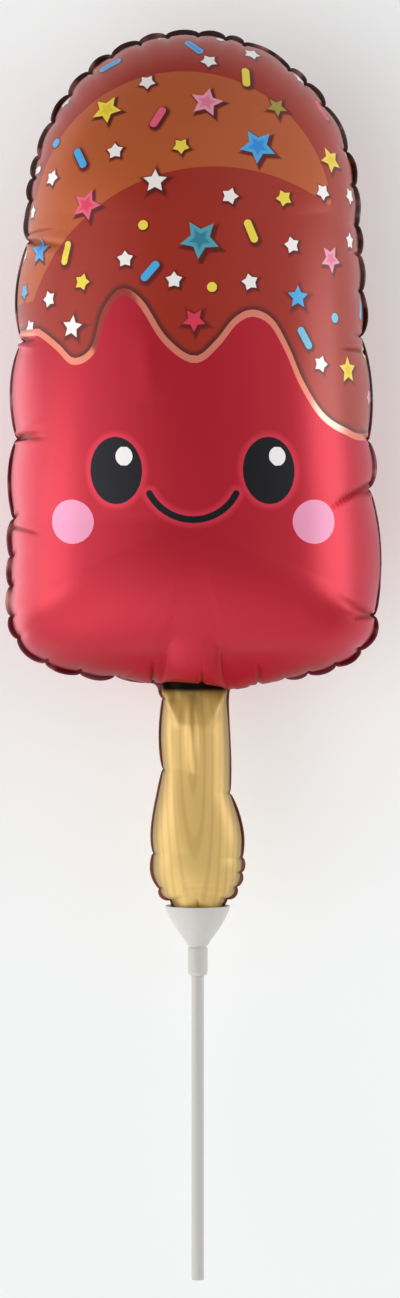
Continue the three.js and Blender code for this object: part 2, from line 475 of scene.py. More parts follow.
@dataclass
class Spokes:
    """The lines on which the films are laid out, from the centre line to the weld, as columns of numbers.

    Attributes:
        centre: Height on the centre line where each spoke starts.
        foot: Where it meets the weld's inner edge, as x and y.
        rim: Where it meets the weld's outer edge.
        fullness: How full the section along it is.
        seam: How far along the weld it lies from the top, below zero on the left half.
        across: Where in its pucker it lies, from 0 at one notch to 1 at the next.
        span: The pucker's length, less where it is drawn in less.
        drawn: How far it is drawn in, as a part of the full depth.
        lobe: The pucker's number.
        welded: Whether it has a weld.
    """

    centre: np.ndarray
    foot: np.ndarray
    rim: np.ndarray
    fullness: np.ndarray
    seam: np.ndarray
    across: np.ndarray
    span: np.ndarray
    drawn: np.ndarray
    lobe: np.ndarray
    welded: np.ndarray

    def pick(self, chosen: slice) -> "Spokes":
        """The spokes of a slice."""
        return Spokes(**{name: column[chosen] for name, column in vars(self).items()})

    @classmethod
    def chained(cls, parts: Sequence["Spokes"]) -> "Spokes":
        """The spokes of all the parts, one part after another."""
        return cls(**{name: np.concatenate([vars(part)[name] for part in parts]) for name in vars(parts[0])})


@dataclass(frozen=True)
class Crease:
    """A sharp fold that runs in over the film from a notch of the weld."""

    seam: float
    length: float
    depth: float
    slant: float


@dataclass(frozen=True)
class Fold:
    """A soft straight fold in the film, as seen from the front: a furrow where its height is below zero."""

    start: Point
    end: Point
    height: float
    width: float

    def rise(self, points: np.ndarray) -> np.ndarray:
        """Measure how far the fold lifts the film.

        Args:
            points: The film's points.

        Returns:
            The lift at each point.
        """
        run = np.array(self.end) - np.array(self.start)
        length = np.linalg.norm(run)
        reach = points[..., :2] - np.array(self.start)
        along = np.clip(reach @ run / length ** 2, 0, 1)
        aside = (reach[..., 0] * run[1] - reach[..., 1] * run[0]) / length
        end_sharpness = 0.7
        return self.height * np.sin(np.pi * along) ** end_sharpness * np.exp(-(aside / self.width) ** 2)


@dataclass
class Fan:
    """The spokes of the body or the handle, right half first, with the creases and folds that cross them.

    Attributes:
        spokes: The spokes in order: down the right side and up the left one.
        creases: The creases at the notches.
        folds: The soft folds.
        period: Length of the weld all the way round, with the neck.
        rings: How many steps each spoke has from the centre line to the weld.
        closed: Whether the last spoke is next to the first.
    """

    spokes: Spokes
    creases: list[Crease]
    folds: tuple[Fold, ...]
    period: float
    rings: int
    closed: bool

    @staticmethod
    def reach(rings: int) -> np.ndarray:
        """Where the rings lie along a spoke, from 0 to 1, crowded towards the weld."""
        crowding = 1.6
        return 1 - (1 - np.linspace(0, 1, rings + 1)) ** crowding

    def beside(self, points: np.ndarray) -> np.ndarray:
        """Find the steps from one neighbour to the other, in the spokes beside each point.

        Args:
            points: The points by spoke and ring.

        Returns:
            The steps.
        """
        if self.closed:
            return np.roll(points, -1, axis=0) - np.roll(points, 1, axis=0)
        return np.gradient(points, axis=0)

    def even_middle(self, heights: np.ndarray) -> None:
        """Lift both halves alike on the centre line, so that their edges meet there.

        Args:
            heights: Heights by spoke and ring, which are changed on the centre line.
        """
        mirrored = np.roll(heights[::-1, 0], int(self.closed))
        heights[:, 0] = (heights[:, 0] + mirrored) / 2


@dataclass(frozen=True)
class Notch:
    """A notch of the weld's rim: how far along the weld it lies from the top, and how deep it is drawn in."""

    seam: float
    depth: float


@dataclass(frozen=True)
class Puckering:
    """How the weld draws the films in: notches in the rim, creases that run in from them, pillows between.

    Attributes:
        notch_depth: Least and most depth of a notch, as parts of the full depth. Creases have the same pairs.
        notch_spread: By how much notches differ at random.
        deep_span: Length of the puckers beside a notch of full depth.
        rim_depth: How far the rim is drawn in at full depth, as foot_depth is how far the film dips.
        tip_sharpness: How pointed a notch is, the less the more.
        crease_width: Half a crease's width at the weld, which grows by crease_spread on the way in.
        valley_power: How flat its bottom is.
        ridge_offset: How far from its middle its shoulders are, in half widths.
        soft_start: How far from the weld pillows and creases come up to their size.
        pillow_height: Height of a pillow, as a part of its pucker's length.
        curl: How high the weld's lobes are lifted, as tilt is how much they lean.
        shade_depth: Depth of a crease that is shaded fully.
    """

    notch_depth: Point = (0.6, 1.6)
    notch_spread: Point = (0.85, 1.15)
    deep_span: float = 24
    rim_depth: float = 2.6
    foot_depth: float = 1.3
    foot_reach: float = 12
    tip_sharpness: float = 0.6
    crease_depth: Point = (0.9, 2.2)
    crease_length: Point = (14, 34)
    crease_slant: Point = (-0.25, 0.25)
    crease_width: float = 0.55
    crease_spread: float = 0.035
    crease_fade: float = 1.2
    valley_power: float = 1.5
    ridge_offset: float = 2.1
    shoulder_share: float = 0.4
    soft_start: Point = (1.5, 2)
    pillow_height: float = 0.07
    pillow_reach: float = 16
    pillow_end: float = 55
    curl: float = 0.6
    curl_reach: float = 7
    tilt: float = 0.6
    shade_depth: float = 0.9

    def notches(self, stretches: list[Stretch], spacing: float) -> list[Notch]:
        """List the notches in order, from the left half's end over the top to the right half's end.

        The longer the puckers beside a notch, the deeper it is drawn in.

        Args:
            stretches: The stretches of half the weld.
            spacing: Distance between two spokes at the weld.

        Returns:
            The notches, each on a spoke, with one at either end.
        """
        draw = np.random.default_rng([SEED, len(stretches)])
        found = []
        passed = 0.0
        for stretch in stretches:
            steps = stretch.steps(spacing)
            for side, places in zip((1, -1), stretch.notches):
                for place in places:
                    found.append((side * (passed + steps[np.abs(steps - place).argmin()]), stretch.depth))
            passed += stretch.seam.length
        seams, depths = np.array(sorted([(-passed, 0), *found, (passed, 0)])).T
        spans = np.convolve(np.diff(seams), (0.5, 0.5))
        depths *= np.clip(spans / self.deep_span, *self.notch_depth)
        depths *= draw.uniform(*self.notch_spread, len(seams))
        return [Notch(seam, depth) for seam, depth in zip(seams, depths)]

    def half(self, stretches: list[Stretch], side: int, spacing: float, notches: list[Notch]) -> Spokes:
        """Lay the spokes of one half.

        Args:
            stretches: The stretches of the half.
            side: 1 for the right half, -1 for the left one.
            spacing: Distance between two spokes at the weld.
            notches: The notches of both halves.

        Returns:
            The spokes from the top down.
        """
        seams = np.array([notch.seam for notch in notches])
        depths = np.array([notch.depth for notch in notches])
        columns = []
        passed = 0.0
        mirror = np.array([side, 1])
        for order, stretch in enumerate(stretches):
            steps = stretch.steps(spacing)
            shares = steps / stretch.seam.length
            seam = side * (passed + steps)
            lobe = np.clip(np.searchsorted(seams, seam, side="right") - 1, 0, len(seams) - 2)
            width = seams[lobe + 1] - seams[lobe]
            across = np.clip((seam - seams[lobe]) / width, 0, 1)
            pull = depths[lobe] * (1 - across) + depths[lobe + 1] * across
            drawn = pull * (1 - np.sin(np.pi * across) ** self.tip_sharpness) * (stretch.depth > 0)
            along_rim = shares * stretch.rims.length
            if stretch.feet:
                rim = stretch.rims.at(along_rim)
                foot = stretch.feet.at(steps)
            else:
                rim = stretch.rims.inset(along_rim, self.rim_depth * drawn)
                foot = stretch.rims.inset(along_rim, stretch.weld)
            columns.append(Spokes(
                centre=np.interp(shares, (0, 1), stretch.centres),
                foot=foot * mirror,
                rim=rim * mirror,
                fullness=np.interp(shares, (0, 1), stretch.fullness),
                seam=seam,
                across=across,
                span=stretch.depth * width,
                drawn=drawn,
                lobe=lobe,
                welded=np.full(len(steps), stretch.welded),
            ).pick(slice(1 if order else 0, None)))
            passed += stretch.seam.length
        return Spokes.chained(columns)

    def creases(self, notches: list[Notch], longest: float) -> list[Crease]:
        """Lay a crease at each notch that is drawn in.

        Args:
            notches: The notches.
            longest: How long there is room for.

        Returns:
            The creases, longer and deeper at the deeper notches.
        """
        draw = np.random.default_rng([SEED, len(notches)])
        found = []
        for notch in notches:
            if notch.depth > 0:
                length = min(notch.depth * draw.uniform(*self.crease_length), longest)
                depth = notch.depth * draw.uniform(*self.crease_depth)
                found.append(Crease(notch.seam, length, depth, draw.uniform(*self.crease_slant)))
        return found

    def relief(self, fan: Fan, points: np.ndarray, inward: np.ndarray) -> tuple[np.ndarray, np.ndarray]:
        """Measure how far the film stands proud of its plain form.

        Args:
            fan: The spokes and their creases and folds.
            points: The film's plain points by spoke and ring.
            inward: Their distance from the weld over the film.

        Returns:
            Heights along the film's normal, below zero in a crease, and how much the creases shade the film.
        """
        spokes = fan.spokes
        pillow = (self.pillow_height * spokes.span * np.sin(np.pi * spokes.across))[:, None]
        fading = np.clip(1 - inward / self.pillow_end, 0, 1) ** 2
        risen = 1 - np.exp(-inward / self.soft_start[0])
        height = pillow * np.exp(-inward / self.pillow_reach) * risen * fading
        height -= self.foot_depth * spokes.drawn[:, None] * np.exp(-inward / self.foot_reach) * fading
        furrows = np.zeros(inward.shape)
        for crease in fan.creases:
            aside = spokes.seam[:, None] - crease.seam - crease.slant * inward
            aside = np.abs((aside + fan.period / 2) % fan.period - fan.period / 2)
            aside /= self.crease_width + self.crease_spread * inward
            fade = np.clip(1 - inward / crease.length, 0, 1) ** self.crease_fade
            valley = np.exp(-aside ** self.valley_power)
            ridges = np.exp(-((aside - self.ridge_offset) ** 2)) * self.shoulder_share
            height += crease.depth * fade * (ridges - valley) * (1 - np.exp(-inward / self.soft_start[1]))
            furrows = np.maximum(furrows, crease.depth * fade * valley)
        for fold in fan.folds:
            rise = fold.rise(points)
            height += rise
            furrows = np.maximum(furrows, -rise / max(fold.width, 1))
        return height, np.clip(furrows / self.shade_depth, 0, 1)

    def bent(self, spokes: Spokes, inward: np.ndarray, out: np.ndarray) -> np.ndarray:
        """Measure how far the weld is curled up and tilted, lobe by lobe, fading in over the film.

        Args:
            spokes: The spokes.
            inward: By spoke and ring, the distance from the weld over the film.
            out: The distance out over the weld.

        Returns:
            The lift of each point, the same for the front film and the back one.
        """
        draw = np.random.default_rng(SEED)
        swings = draw.uniform(-1, 1, (2, spokes.lobe.max() + 1))[:, spokes.lobe]
        swing, lean = swings * np.sin(np.pi * spokes.across) * (spokes.span > 0)
        curled = self.curl * swing[:, None] * np.exp(-inward / self.curl_reach)
        return curled + self.tilt * lean[:, None] * out


@dataclass(frozen=True)
class Inflation:
    """How thick the air makes the balloon, as half thicknesses from the weld."""

    body: float = 52
    crown_drop: float = 3
    thickest_y: float = 352
    handle_fullness: float = 2.2
    handle: tuple[Point, ...] = (
        (150, 9.6), (156, 12.6), (166, 14.6), (185, 13.6), (205, 12.6), (226, 12.2), (238, 10.8))
    flat_spot: float = 0.8

    def of_body(self, outline: LollyOutline, y: np.ndarray) -> np.ndarray:
        """Tell how high the body's crown is.

        Args:
            outline: The balloon's outline.
            y: Heights along the lolly.

        Returns:
            The half thickness: most below the body's middle, and level from its lower centre down.
        """
        span = outline.upper_centre_y - self.thickest_y
        away = (np.maximum(y, outline.lower_centre_y) - self.thickest_y) / span
        return self.body - self.crown_drop * away * away

    def of_handle(self, y: np.ndarray | float) -> np.ndarray:
        """The handle's half thickness on its centre line."""
        stations = Line.spline(self.handle).points
        return np.interp(y, stations[:, 0], stations[:, 1])

    @staticmethod
    def section(reach: np.ndarray, fullness: np.ndarray | float) -> np.ndarray:
        """Height of an inflated section, 1 in the middle and 0 at the weld."""
        return np.sqrt(1 - np.minimum(reach, 1) ** fullness)


@dataclass(frozen=True)
class Oval:
    """An oval of the print."""

    centre: Point
    radii: Point

    def depth(self, points: np.ndarray) -> np.ndarray:
        """Measure how far points lie inside the oval.

        Args:
            points: The points.

        Returns:
            The depths, below zero outside.
        """
        radii = np.array(self.radii)
        place = (points - np.array(self.centre)) / radii
        reach = np.linalg.norm(place, axis=1)
        slope = np.linalg.norm(place / radii, axis=1)
        return reach * (1 - reach) / np.maximum(slope, 1e-9)


@dataclass(frozen=True)
class Stroke:
    """A pen stroke of the print along the lowest part of a circle."""

    centre: Point
    radius: float
    half_angle: float
    width: float

    def offsets(self, points: np.ndarray) -> np.ndarray:
        """Measure where points lie from the stroke.

        Args:
            points: The points.

        Returns:
            How far each one lies past the stroke's nearer end, and how far outside its circle.
        """
        place = points - np.array(self.centre)
        past = np.abs(np.arctan2(place[:, 0], -place[:, 1])) - math.radians(self.half_angle)
        outside = np.linalg.norm(place, axis=1) - self.radius
        return np.column_stack([self.radius * past, outside])


class SprinkleShape(Enum):
    """The shapes of the sprinkles, by the number that the film's material reads."""

    LARGE_STAR = 1
    SMALL_STAR = 2
    DOT = 3
    ROD = 4


class Ink(Enum):
    """The inks of the sprinkles."""

    WHITE = "#fdfbf8"
    YELLOW = "#f9e24c"
    OLIVE = "#a79a45"
    BLUE = "#43b4f0"
    PALE_BLUE = "#6ec7e6"
    TEAL = "#4fa9bd"
    PINK = "#f2a2ba"
    DEEP_PINK = "#ef6386"
    ROSE = "#e23a58"


@dataclass(frozen=True)
class Sprinkle:
    """A sprinkle of the print: its middle, how far it reaches from there, and its turn in degrees."""

    shape: SprinkleShape
    ink: Ink
    centre: Point
    radius: float
    turn: float


@dataclass(frozen=True)
class LollyPrint:
    """The print as it is seen from the front: a dripping chocolate edge, a sheen, sprinkles and a face.

    A large star has its ink, middle, reach and turn, a rod no reach, and a dot neither reach nor turn.
    """

    drip: tuple[Point, ...] = (
        (-66, 380), (-61, 379.5), (-54, 374), (-48, 368.6), (-41, 373), (-36.5, 388), (-29, 396.5),
        (-20.5, 391.5), (-11, 377), (0, 369.4), (8.5, 375.5), (16, 384.6), (23.5, 388), (31.5, 384.2),
        (38, 373), (44, 359), (52, 346.5), (61, 340.5), (68, 338.3))
    drip_hang: float = 0.9
    dull_spot: Oval = Oval((-33, 384), (13, 17))
    shiny_spot: Oval = Oval((54.8, 345.4), (13, 13))
    spot_fades: Point = (3, 8)
    sheen_centre: Point = (-4, 424)
    sheen_radius: float = 59.3
    sheen_span: Point = (172, 6)
    hollow_centre: Point = (8, 370)
    hollow_radius: float = 75.3
    hollow_span: Point = (51.7, 163.5)
    eyes: tuple[Oval, Oval] = (Oval((-30, 321), (10.5, 13)), Oval((30, 321), (10.5, 13)))
    glints: tuple[Oval, Oval] = (Oval((-26.6, 326.5), (3.4, 3.8)), Oval((33.4, 326.5), (3.4, 3.8)))
    cheeks: tuple[Oval, Oval] = (Oval((-49, 301), (9.6, 8.6)), Oval((49, 301), (9.6, 8.6)))
    smile: Stroke = Stroke((0, 321), 19, 62, 2.6)
    large_stars: tuple[tuple[Ink, float, float, float, float], ...] = (
        (Ink.YELLOW, -35, 468, 6.4, -12), (Ink.PINK, 5, 471, 6.8, 5), (Ink.BLUE, 25.6, 453.4, 7.6, -22),
        (Ink.TEAL, 2.4, 416.2, 8.2, -22), (Ink.DEEP_PINK, -43.2, 429.8, 6.6, -5),
        (Ink.WHITE, -15.6, 439.4, 5, 18), (Ink.OLIVE, 33.2, 469, 4.4, -15),
        (Ink.YELLOW, 54.8, 447.8, 5.6, -20), (Ink.PINK, 54.8, 408.2, 5.8, -10),
        (Ink.BLUE, -62, 411.4, 5.6, 15), (Ink.BLUE, 41.6, 393, 4.8, 18),
        (Ink.ROSE, 0, 383.8, 4.8, -18), (Ink.YELLOW, 61.6, 363.8, 5.6, 20), (Ink.WHITE, -48.8, 381, 4.8, 10))
    small_white_stars: tuple[Point, ...] = (
        (6, 487.4), (23.2, 490.2), (-18.8, 479), (42.4, 480.2), (-31.6, 451.4), (-56.8, 440.6), (14.4, 433.4),
        (51.6, 435), (62.4, 433.4), (39.2, 413.8), (62.4, 415.4), (-27.6, 408.2), (-8, 399.8), (22.4, 399),
        (-58, 392.2), (-65.6, 380.6), (50.8, 366.2))
    small_yellow_stars: tuple[Point, ...] = ((-5.2, 453.4), (36, 432.6), (-44.8, 399))
    dots: tuple[tuple[Ink, float, float], ...] = (
        (Ink.YELLOW, -20.4, 421.8), (Ink.YELLOW, 7.2, 397), (Ink.BLUE, -55.2, 454.6),
        (Ink.PALE_BLUE, 56.4, 384.6))
    rods: tuple[tuple[Ink, float, float, float], ...] = (
        (Ink.BLUE, 0, 493, -50), (Ink.BLUE, -33.6, 485.8, 27), (Ink.BLUE, -45.6, 448.6, -62),
        (Ink.BLUE, -17.6, 403.4, 49), (Ink.PALE_BLUE, 44.4, 376.6, -58), (Ink.YELLOW, 20.8, 481, 88),
        (Ink.YELLOW, 22.8, 419.4, -66), (Ink.YELLOW, -51.2, 410.6, 78), (Ink.DEEP_PINK, -14.4, 465, 61),
        (Ink.ROSE, 51.2, 467.4, -60))
    small_radius: float = 3.5
    dot_radius: float = 2
    rod_reach: float = 4.9
    cored_radius: float = 5.25
    scatter_gap: float = 17
    scatter_tries: int = 1500
    scatter_margin: float = 6
    hidden_reach: Point = (4, 15)

    def sprinkles(self) -> list[Sprinkle]:
        """List the sprinkles that show from the front.

        Returns:
            The sprinkles, with the small stars turned at random.
        """
        draw = np.random.default_rng(SEED)
        whites = [(Ink.WHITE, place) for place in self.small_white_stars]
        small_stars = [*whites, *((Ink.YELLOW, place) for place in self.small_yellow_stars)]
        turned = draw.uniform(0, 72, len(small_stars))
        large, small, dot, rod = SprinkleShape
        return [
            *(Sprinkle(large, ink, (x, y), radius, turn) for ink, x, y, radius, turn in self.large_stars),
            *(Sprinkle(small, ink, place, self.small_radius, float(turn))
              for (ink, place), turn in zip(small_stars, turned)),
            *(Sprinkle(dot, ink, (x, y), self.dot_radius, 0) for ink, x, y in self.dots),
            *(Sprinkle(rod, ink, (x, y), self.rod_reach, turn) for ink, x, y, turn in self.rods),
        ]


@dataclass(frozen=True)
class PrintedFilm:
    """Metallised nylon film, printed by flexography and varnished.

    Its reflections are tinted and glossy, softened by the ink. Painted shade darkens its colour and dims its
    reflections and coat in the creases, low on the body and at the neck, where it becomes a near-black
    painted shadow; it darkens the colour near the weld, and the weld's inks too.
    """

    raspberry: str = "#bf172b"
    chocolate: str = "#a52a18"
    sheen: str = "#bf5c2c"
    drip_edge: str = "#ea8770"
    drip_dull: str = "#a33a32"
    drip_shine: str = "#f0c2ae"
    drip_line: str = "#5d1c13"
    shadow: str = "#64120e"
    shadow_shift: tuple[float, float, float] = (0.14, -0.16, 0)
    eye: str = "#0c0f10"
    glow: str = "#dc3247"
    cheek: str = "#f09abd"
    white: str = "#fdfbf8"
    wood: str = "#e2be70"
    wood_grain: str = "#b98d44"
    grain_strength: float = 0.28
    grain_period: Point = (3.2, 26)
    grain_top: Point = (-1, 211)
    # The weld's inks: the print's colours darkened as painted shade of the seam, with pale patches at random.
    raspberry_weld: str = "#6a1a22"
    chocolate_weld: str = "#2c0f0b"
    pale_weld: str = "#a8675f"
    weld_patch_mm: float = 9
    handle_weld: str = "#84452a"
    # Painted shadow: near-black at the top of the handle, under the body's overhang.
    neck_shadow: str = "#15110e"
    core_strength: float = 0.7
    star_notches: Point = (0.49, 0.62)
    rod_width: float = 0.32
    metallic: float = 0.4
    chocolate_metallic: float = 0.16
    handle_metallic: float = 0.22
    ink_metallic: float = 0.08
    roughness: float = 0.33
    handle_roughness: float = 0.42
    coat: float = 0.15
    chocolate_coat: float = 0.55
    coat_roughness: float = 0.3
    specular: float = 0.45
    red_gloss: str = "#efeaff"
    chocolate_gloss: str = "#dca6a4"
    shade_floor: float = 0.22
    edge_shade: float = 0.5
    handle_edge_shade: float = 0.85
    crease_shade: float = 0.62
    crinkle_mm: float = 7
    crinkle_height: float = 0.03

    def columns(self, tree: NodeTree) -> dict[str, NodeSocket]:
        """Make nodes that read the columns on the film's mesh.

        Args:
            tree: The material's tree.

        Returns:
            The columns by name.
        """
        outputs = {"sheet": "Vector", "smile": "Vector", "sprinkle_place": "Vector", "sprinkle_ink": "Color"}
        numbers = ("chocolate", "drip", "drip_tone", "sheen", "eyes", "glints", "cheeks", "handle", "inward",
                   "shade", "sprinkle_shape", "sprinkle_turn", "sprinkle_cored")
        outputs |= dict.fromkeys(numbers, "Fac")
        return {name: add_node(tree, "ShaderNodeAttribute", attribute_name=name).outputs[output]
                for name, output in outputs.items()}

    def sprinkle_depth(self, tree: NodeTree, place: Node | NodeSocket, film: dict[str, NodeSocket]) -> Node:
        """Make nodes that tell how far inside a sprinkle a point lies, in parts of the sprinkle's reach.

        Args:
            tree: The material's tree.
            place: The point from the sprinkle's middle, in parts of its reach.
            film: The film's columns, with the sprinkle's shape and turn.

        Returns:
            The depth, below zero outside.
        """
        tip_angle = math.pi / 5
        turned = add_node(tree, "ShaderNodeVectorRotate", {"Vector": place, "Angle": film["sprinkle_turn"]},
                          rotation_type="Z_AXIS", invert=True)
        axes = add_node(tree, "ShaderNodeSeparateXYZ", {0: turned}).outputs
        reach = add_node(tree, VECTOR_MATH, {0: turned}, operation="LENGTH")
        angle = add_node(tree, MATH, {0: axes["Y"], 1: axes["X"]}, operation="ARCTAN2")
        folded = add_node(tree, MATH, {0: angle, 1: tip_angle}, operation="PINGPONG")
        found = {}
        for star, notch in zip((SprinkleShape.LARGE_STAR, SprinkleShape.SMALL_STAR), self.star_notches):
            normal = Vector((notch * math.sin(tip_angle), 1 - notch * math.cos(tip_angle))).normalized()
            lean = math.atan2(normal.y, normal.x)
            from_normal = add_node(tree, MATH, {0: folded, 1: lean}, operation="SUBTRACT")
            slope = add_node(tree, MATH, {0: from_normal}, operation="COSINE")
            out = add_node(tree, MATH, {0: slope, 1: reach}, operation="MULTIPLY")
            found[star] = add_node(tree, MATH, {0: normal.x, 1: out}, operation="SUBTRACT")
        found[SprinkleShape.DOT] = add_node(tree, MATH, {0: 1.0, 1: reach}, operation="SUBTRACT")
        length = add_node(tree, MATH, {0: axes["X"]}, operation="ABSOLUTE")
        beyond = add_node(tree, MATH, {0: length, 1: 1 - self.rod_width}, operation="SUBTRACT")
        past_end = add_node(tree, MATH, {0: beyond, 1: 0.0}, operation="MAXIMUM")
        aside = add_node(tree, "ShaderNodeCombineXYZ", {0: past_end, 1: axes["Y"]})
        gap = add_node(tree, VECTOR_MATH, {0: aside}, operation="LENGTH")
        found[SprinkleShape.ROD] = add_node(tree, MATH, {0: self.rod_width, 1: gap}, operation="SUBTRACT")
        depth = -1.0
        for kind, inside in found.items():
            is_kind = add_node(tree, MATH, {0: film["sprinkle_shape"], 1: float(kind.value), 2: 0.4},
                               operation="COMPARE")
            depth = add_node(tree, MIX, {"Factor": is_kind, "A": depth, "B": inside}, data_type="FLOAT")
        return depth

    def masks(self, tree: NodeTree, film: dict[str, NodeSocket]) -> dict[str, Node]:
        """Make nodes that tell where each part of the print, the shade and the weld lies.

        Args:
            tree: The material's tree.
            film: The film's columns.

        Returns:
            The masks by name: 0 outside a part, 1 inside it.
        """
        place = film["sprinkle_place"]
        # Along the smile only what lies past its ends counts. Across it, all does.
        past_end = add_node(tree, VECTOR_MATH, {0: film["smile"], 1: (0.0, -999.0, 0.0)}, operation="MAXIMUM")
        stroke = add_node(tree, VECTOR_MATH, {0: past_end}, operation="LENGTH")
        cast = add_node(tree, VECTOR_MATH, {0: place, 1: self.shadow_shift}, operation="SUBTRACT")
        halo = add_node(tree, MAP_RANGE, {"Value": film["sprinkle_cored"], "To Min": -0.4, "To Max": -0.18})
        depth = self.sprinkle_depth(tree, place, film)
        patches = add_node(tree, NOISE, {
            "Vector": film["sheet"], "Scale": 1 / self.weld_patch_mm, "Detail": 1.0})
        pen = LollyPrint.smile.width / 2
        sharp = (-0.06, 0.06)
        spans = {
            "chocolate": (film["chocolate"], *sharp),
            "drip_line": (film["chocolate"], 2.6, 0.4),
            "drip_edge": (film["drip"], -1.95, -1.75),
            "drip_dull": (film["drip_tone"], 0, -1),
            "drip_shine": (film["drip_tone"], 0, 1),
            "sheen": (film["sheen"], *sharp),
            "shadow": (self.sprinkle_depth(tree, cast, film), halo, -0.03),
            "sprinkle": (depth, -0.02, 0.02),
            "core": (depth, 0.12, 0.26),
            "eyes": (film["eyes"], *sharp),
            "eye_glow": (film["eyes"], -3.2, -0.4),
            "glints": (film["glints"], *sharp),
            "cheeks": (film["cheeks"], *sharp),
            "smile": (stroke, pen + sharp[1], pen + sharp[0]),
            "smile_glow": (stroke, pen + 3, pen + 0.3),
            "handle": (film["handle"], *sharp),
            "neck_shadow": (film["shade"], 1, 1.3),
            # Painted shade also dims the reflections' tint and fades the coat wherever the shade column is
            # high.
            "shaded_gloss": (film["shade"], 0.05, 0.5),
            "coat_unshaded": (film["shade"], 0.6, 0.05),
            "near_weld": (film["inward"], 11, 1.5),
            "weld": (film["inward"], -0.1, -0.4),
            "weld_patch": (patches, 0.5, 0.75),
        }
        return {name: add_node(tree, MAP_RANGE, {"Value": value, "From Min": low, "From Max": high},
                               interpolation_type="SMOOTHSTEP") for name, (value, low, high) in spans.items()}

    @staticmethod
    def printed(tree: NodeTree, base: Any, *layers: tuple[Node, Any]) -> Any:
        """Make nodes that lay inks over each other, and painted shade over them.

        Args:
            tree: The material's tree.
            base: The lowest ink, as a hex colour or what feeds it.
            layers: From below, each ink's or painted shade's mask and its colour.

        Returns:
            The colour on top.
        """
        colour = linear(base) if isinstance(base, str) else base
        for mask, ink in layers:
            top = linear(ink) if isinstance(ink, str) else ink
            colour = add_node(tree, MIX, {"Factor": mask, "A": colour, "B": top}, data_type="RGBA")
        return colour

    def wood_colour(self, tree: NodeTree, sheet: NodeSocket) -> Node:
        """Make nodes for the handle's printed wood: long nested loops of grain on tan.

        Args:
            tree: The material's tree.
            sheet: Places on the flat film.

        Returns:
            The colour.
        """
        (width, length), (top_x, top_y) = self.grain_period, self.grain_top
        place = add_node(tree, "ShaderNodeMapping", {
            "Vector": sheet, "Location": (-top_x / width, -top_y / length, 0),
            "Scale": (1 / width, 1 / length, 0)})
        wave_repeat = math.tau / 20
        rings = add_node(tree, "ShaderNodeTexWave", {
            "Vector": place, "Scale": wave_repeat, "Distortion": 1.4, "Detail": 1.5, "Detail Scale": 0.35},
            wave_type="RINGS", rings_direction="Z").outputs["Fac"]
        line = add_node(tree, MAP_RANGE, {"Value": rings, "From Min": 0.5, "To Max": self.grain_strength},
                        interpolation_type="SMOOTHSTEP")
        return self.printed(tree, self.wood, (line, self.wood_grain))

    def make(self) -> Material:
        """Make the film's material.

        Returns:
            The material, which reads the columns on the film's mesh.
        """
        material, tree, shader = new_material("Printed metallised film")
        film = self.columns(tree)
        mask = self.masks(tree, film)
        chocolate, handle = mask["chocolate"], mask["handle"]
        edge_shade, cored, coat, roughness = (
            add_node(tree, MAP_RANGE, {"Value": part, "To Min": low, "To Max": high})
            for part, low, high in (
                (handle, self.edge_shade, self.handle_edge_shade),
                (film["sprinkle_cored"], 0, self.core_strength),
                (chocolate, self.coat, self.chocolate_coat),
                (handle, self.roughness, self.handle_roughness)))
        shadow, sprinkle, core, near_weld, painted_shade, coat = (
            add_node(tree, MATH, {0: one, 1: other}, operation="MULTIPLY")
            for one, other in (
                (mask["shadow"], chocolate), (mask["sprinkle"], chocolate), (mask["core"], cored),
                (mask["near_weld"], edge_shade), (film["shade"], self.crease_shade), (coat, mask["coat_unshaded"])))

        brown = self.printed(
            tree, self.chocolate, (mask["sheen"], self.sheen), (mask["drip_line"], self.drip_line))
        edge = self.printed(
            tree, self.drip_edge, (mask["drip_dull"], self.drip_dull), (mask["drip_shine"], self.drip_shine))
        ink = film["sprinkle_ink"]
        deep_ink = add_node(tree, VECTOR_MATH, {0: ink, 1: ink}, operation="MULTIPLY")
        colour = self.printed(
            tree, self.raspberry, (mask["eye_glow"], self.glow), (mask["smile_glow"], self.glow),
            (mask["drip_edge"], edge), (chocolate, brown), (shadow, self.shadow),
            (sprinkle, self.printed(tree, ink, (core, deep_ink))), (mask["cheeks"], self.cheek),
            (mask["eyes"], self.eye), (mask["smile"], self.eye), (mask["glints"], self.white),
            (handle, self.wood_colour(tree, film["sheet"])))
        # The weld: the print's colours darkened as painted shade, with pale patches at random.
        weld = self.printed(
            tree, self.raspberry_weld, (chocolate, self.chocolate_weld), (mask["weld_patch"], self.pale_weld),
            (handle, self.handle_weld))
        # Painted shade: the colour darkened near the weld and by the shade column, in the creases, low on the
        # body and at the neck, with a near-black painted shadow under the body's overhang.
        dark = add_node(tree, VECTOR_MATH, {0: colour, "Scale": self.shade_floor}, operation="SCALE")
        shade = add_node(tree, MATH, {0: near_weld, 1: painted_shade}, operation="MAXIMUM")
        colour = self.printed(
            tree, colour, (shade, dark), (mask["neck_shadow"], self.neck_shadow), (mask["weld"], weld))
        gloss = self.printed(
            tree, self.red_gloss, (chocolate, self.chocolate_gloss), (mask["shaded_gloss"], dark))

        inked = sprinkle
        for name in ("cheeks", "glints"):
            inked = add_node(tree, MATH, {0: inked, 1: mask[name]}, operation="MAXIMUM")
        metallic = self.metallic
        for part, level in ((chocolate, self.chocolate_metallic), (inked, self.ink_metallic),
                            (handle, self.handle_metallic)):
            metallic = add_node(tree, MIX, {"Factor": part, "A": metallic, "B": level}, data_type="FLOAT")
        crinkle = add_node(tree, NOISE, {
            "Vector": film["sheet"], "Scale": 1 / self.crinkle_mm, "Detail": 2.0, "Roughness": 0.45})
        bump = add_node(tree, "ShaderNodeBump", {"Height": crinkle, "Distance": self.crinkle_height * MM})
        feed(tree, shader, {
            "Base Color": colour, "Metallic": metallic, "Roughness": roughness, "Normal": bump,
            "Coat Weight": coat, "Coat Roughness": self.coat_roughness, "Specular Tint": gloss,
            "Specular IOR Level": self.specular})
        return material


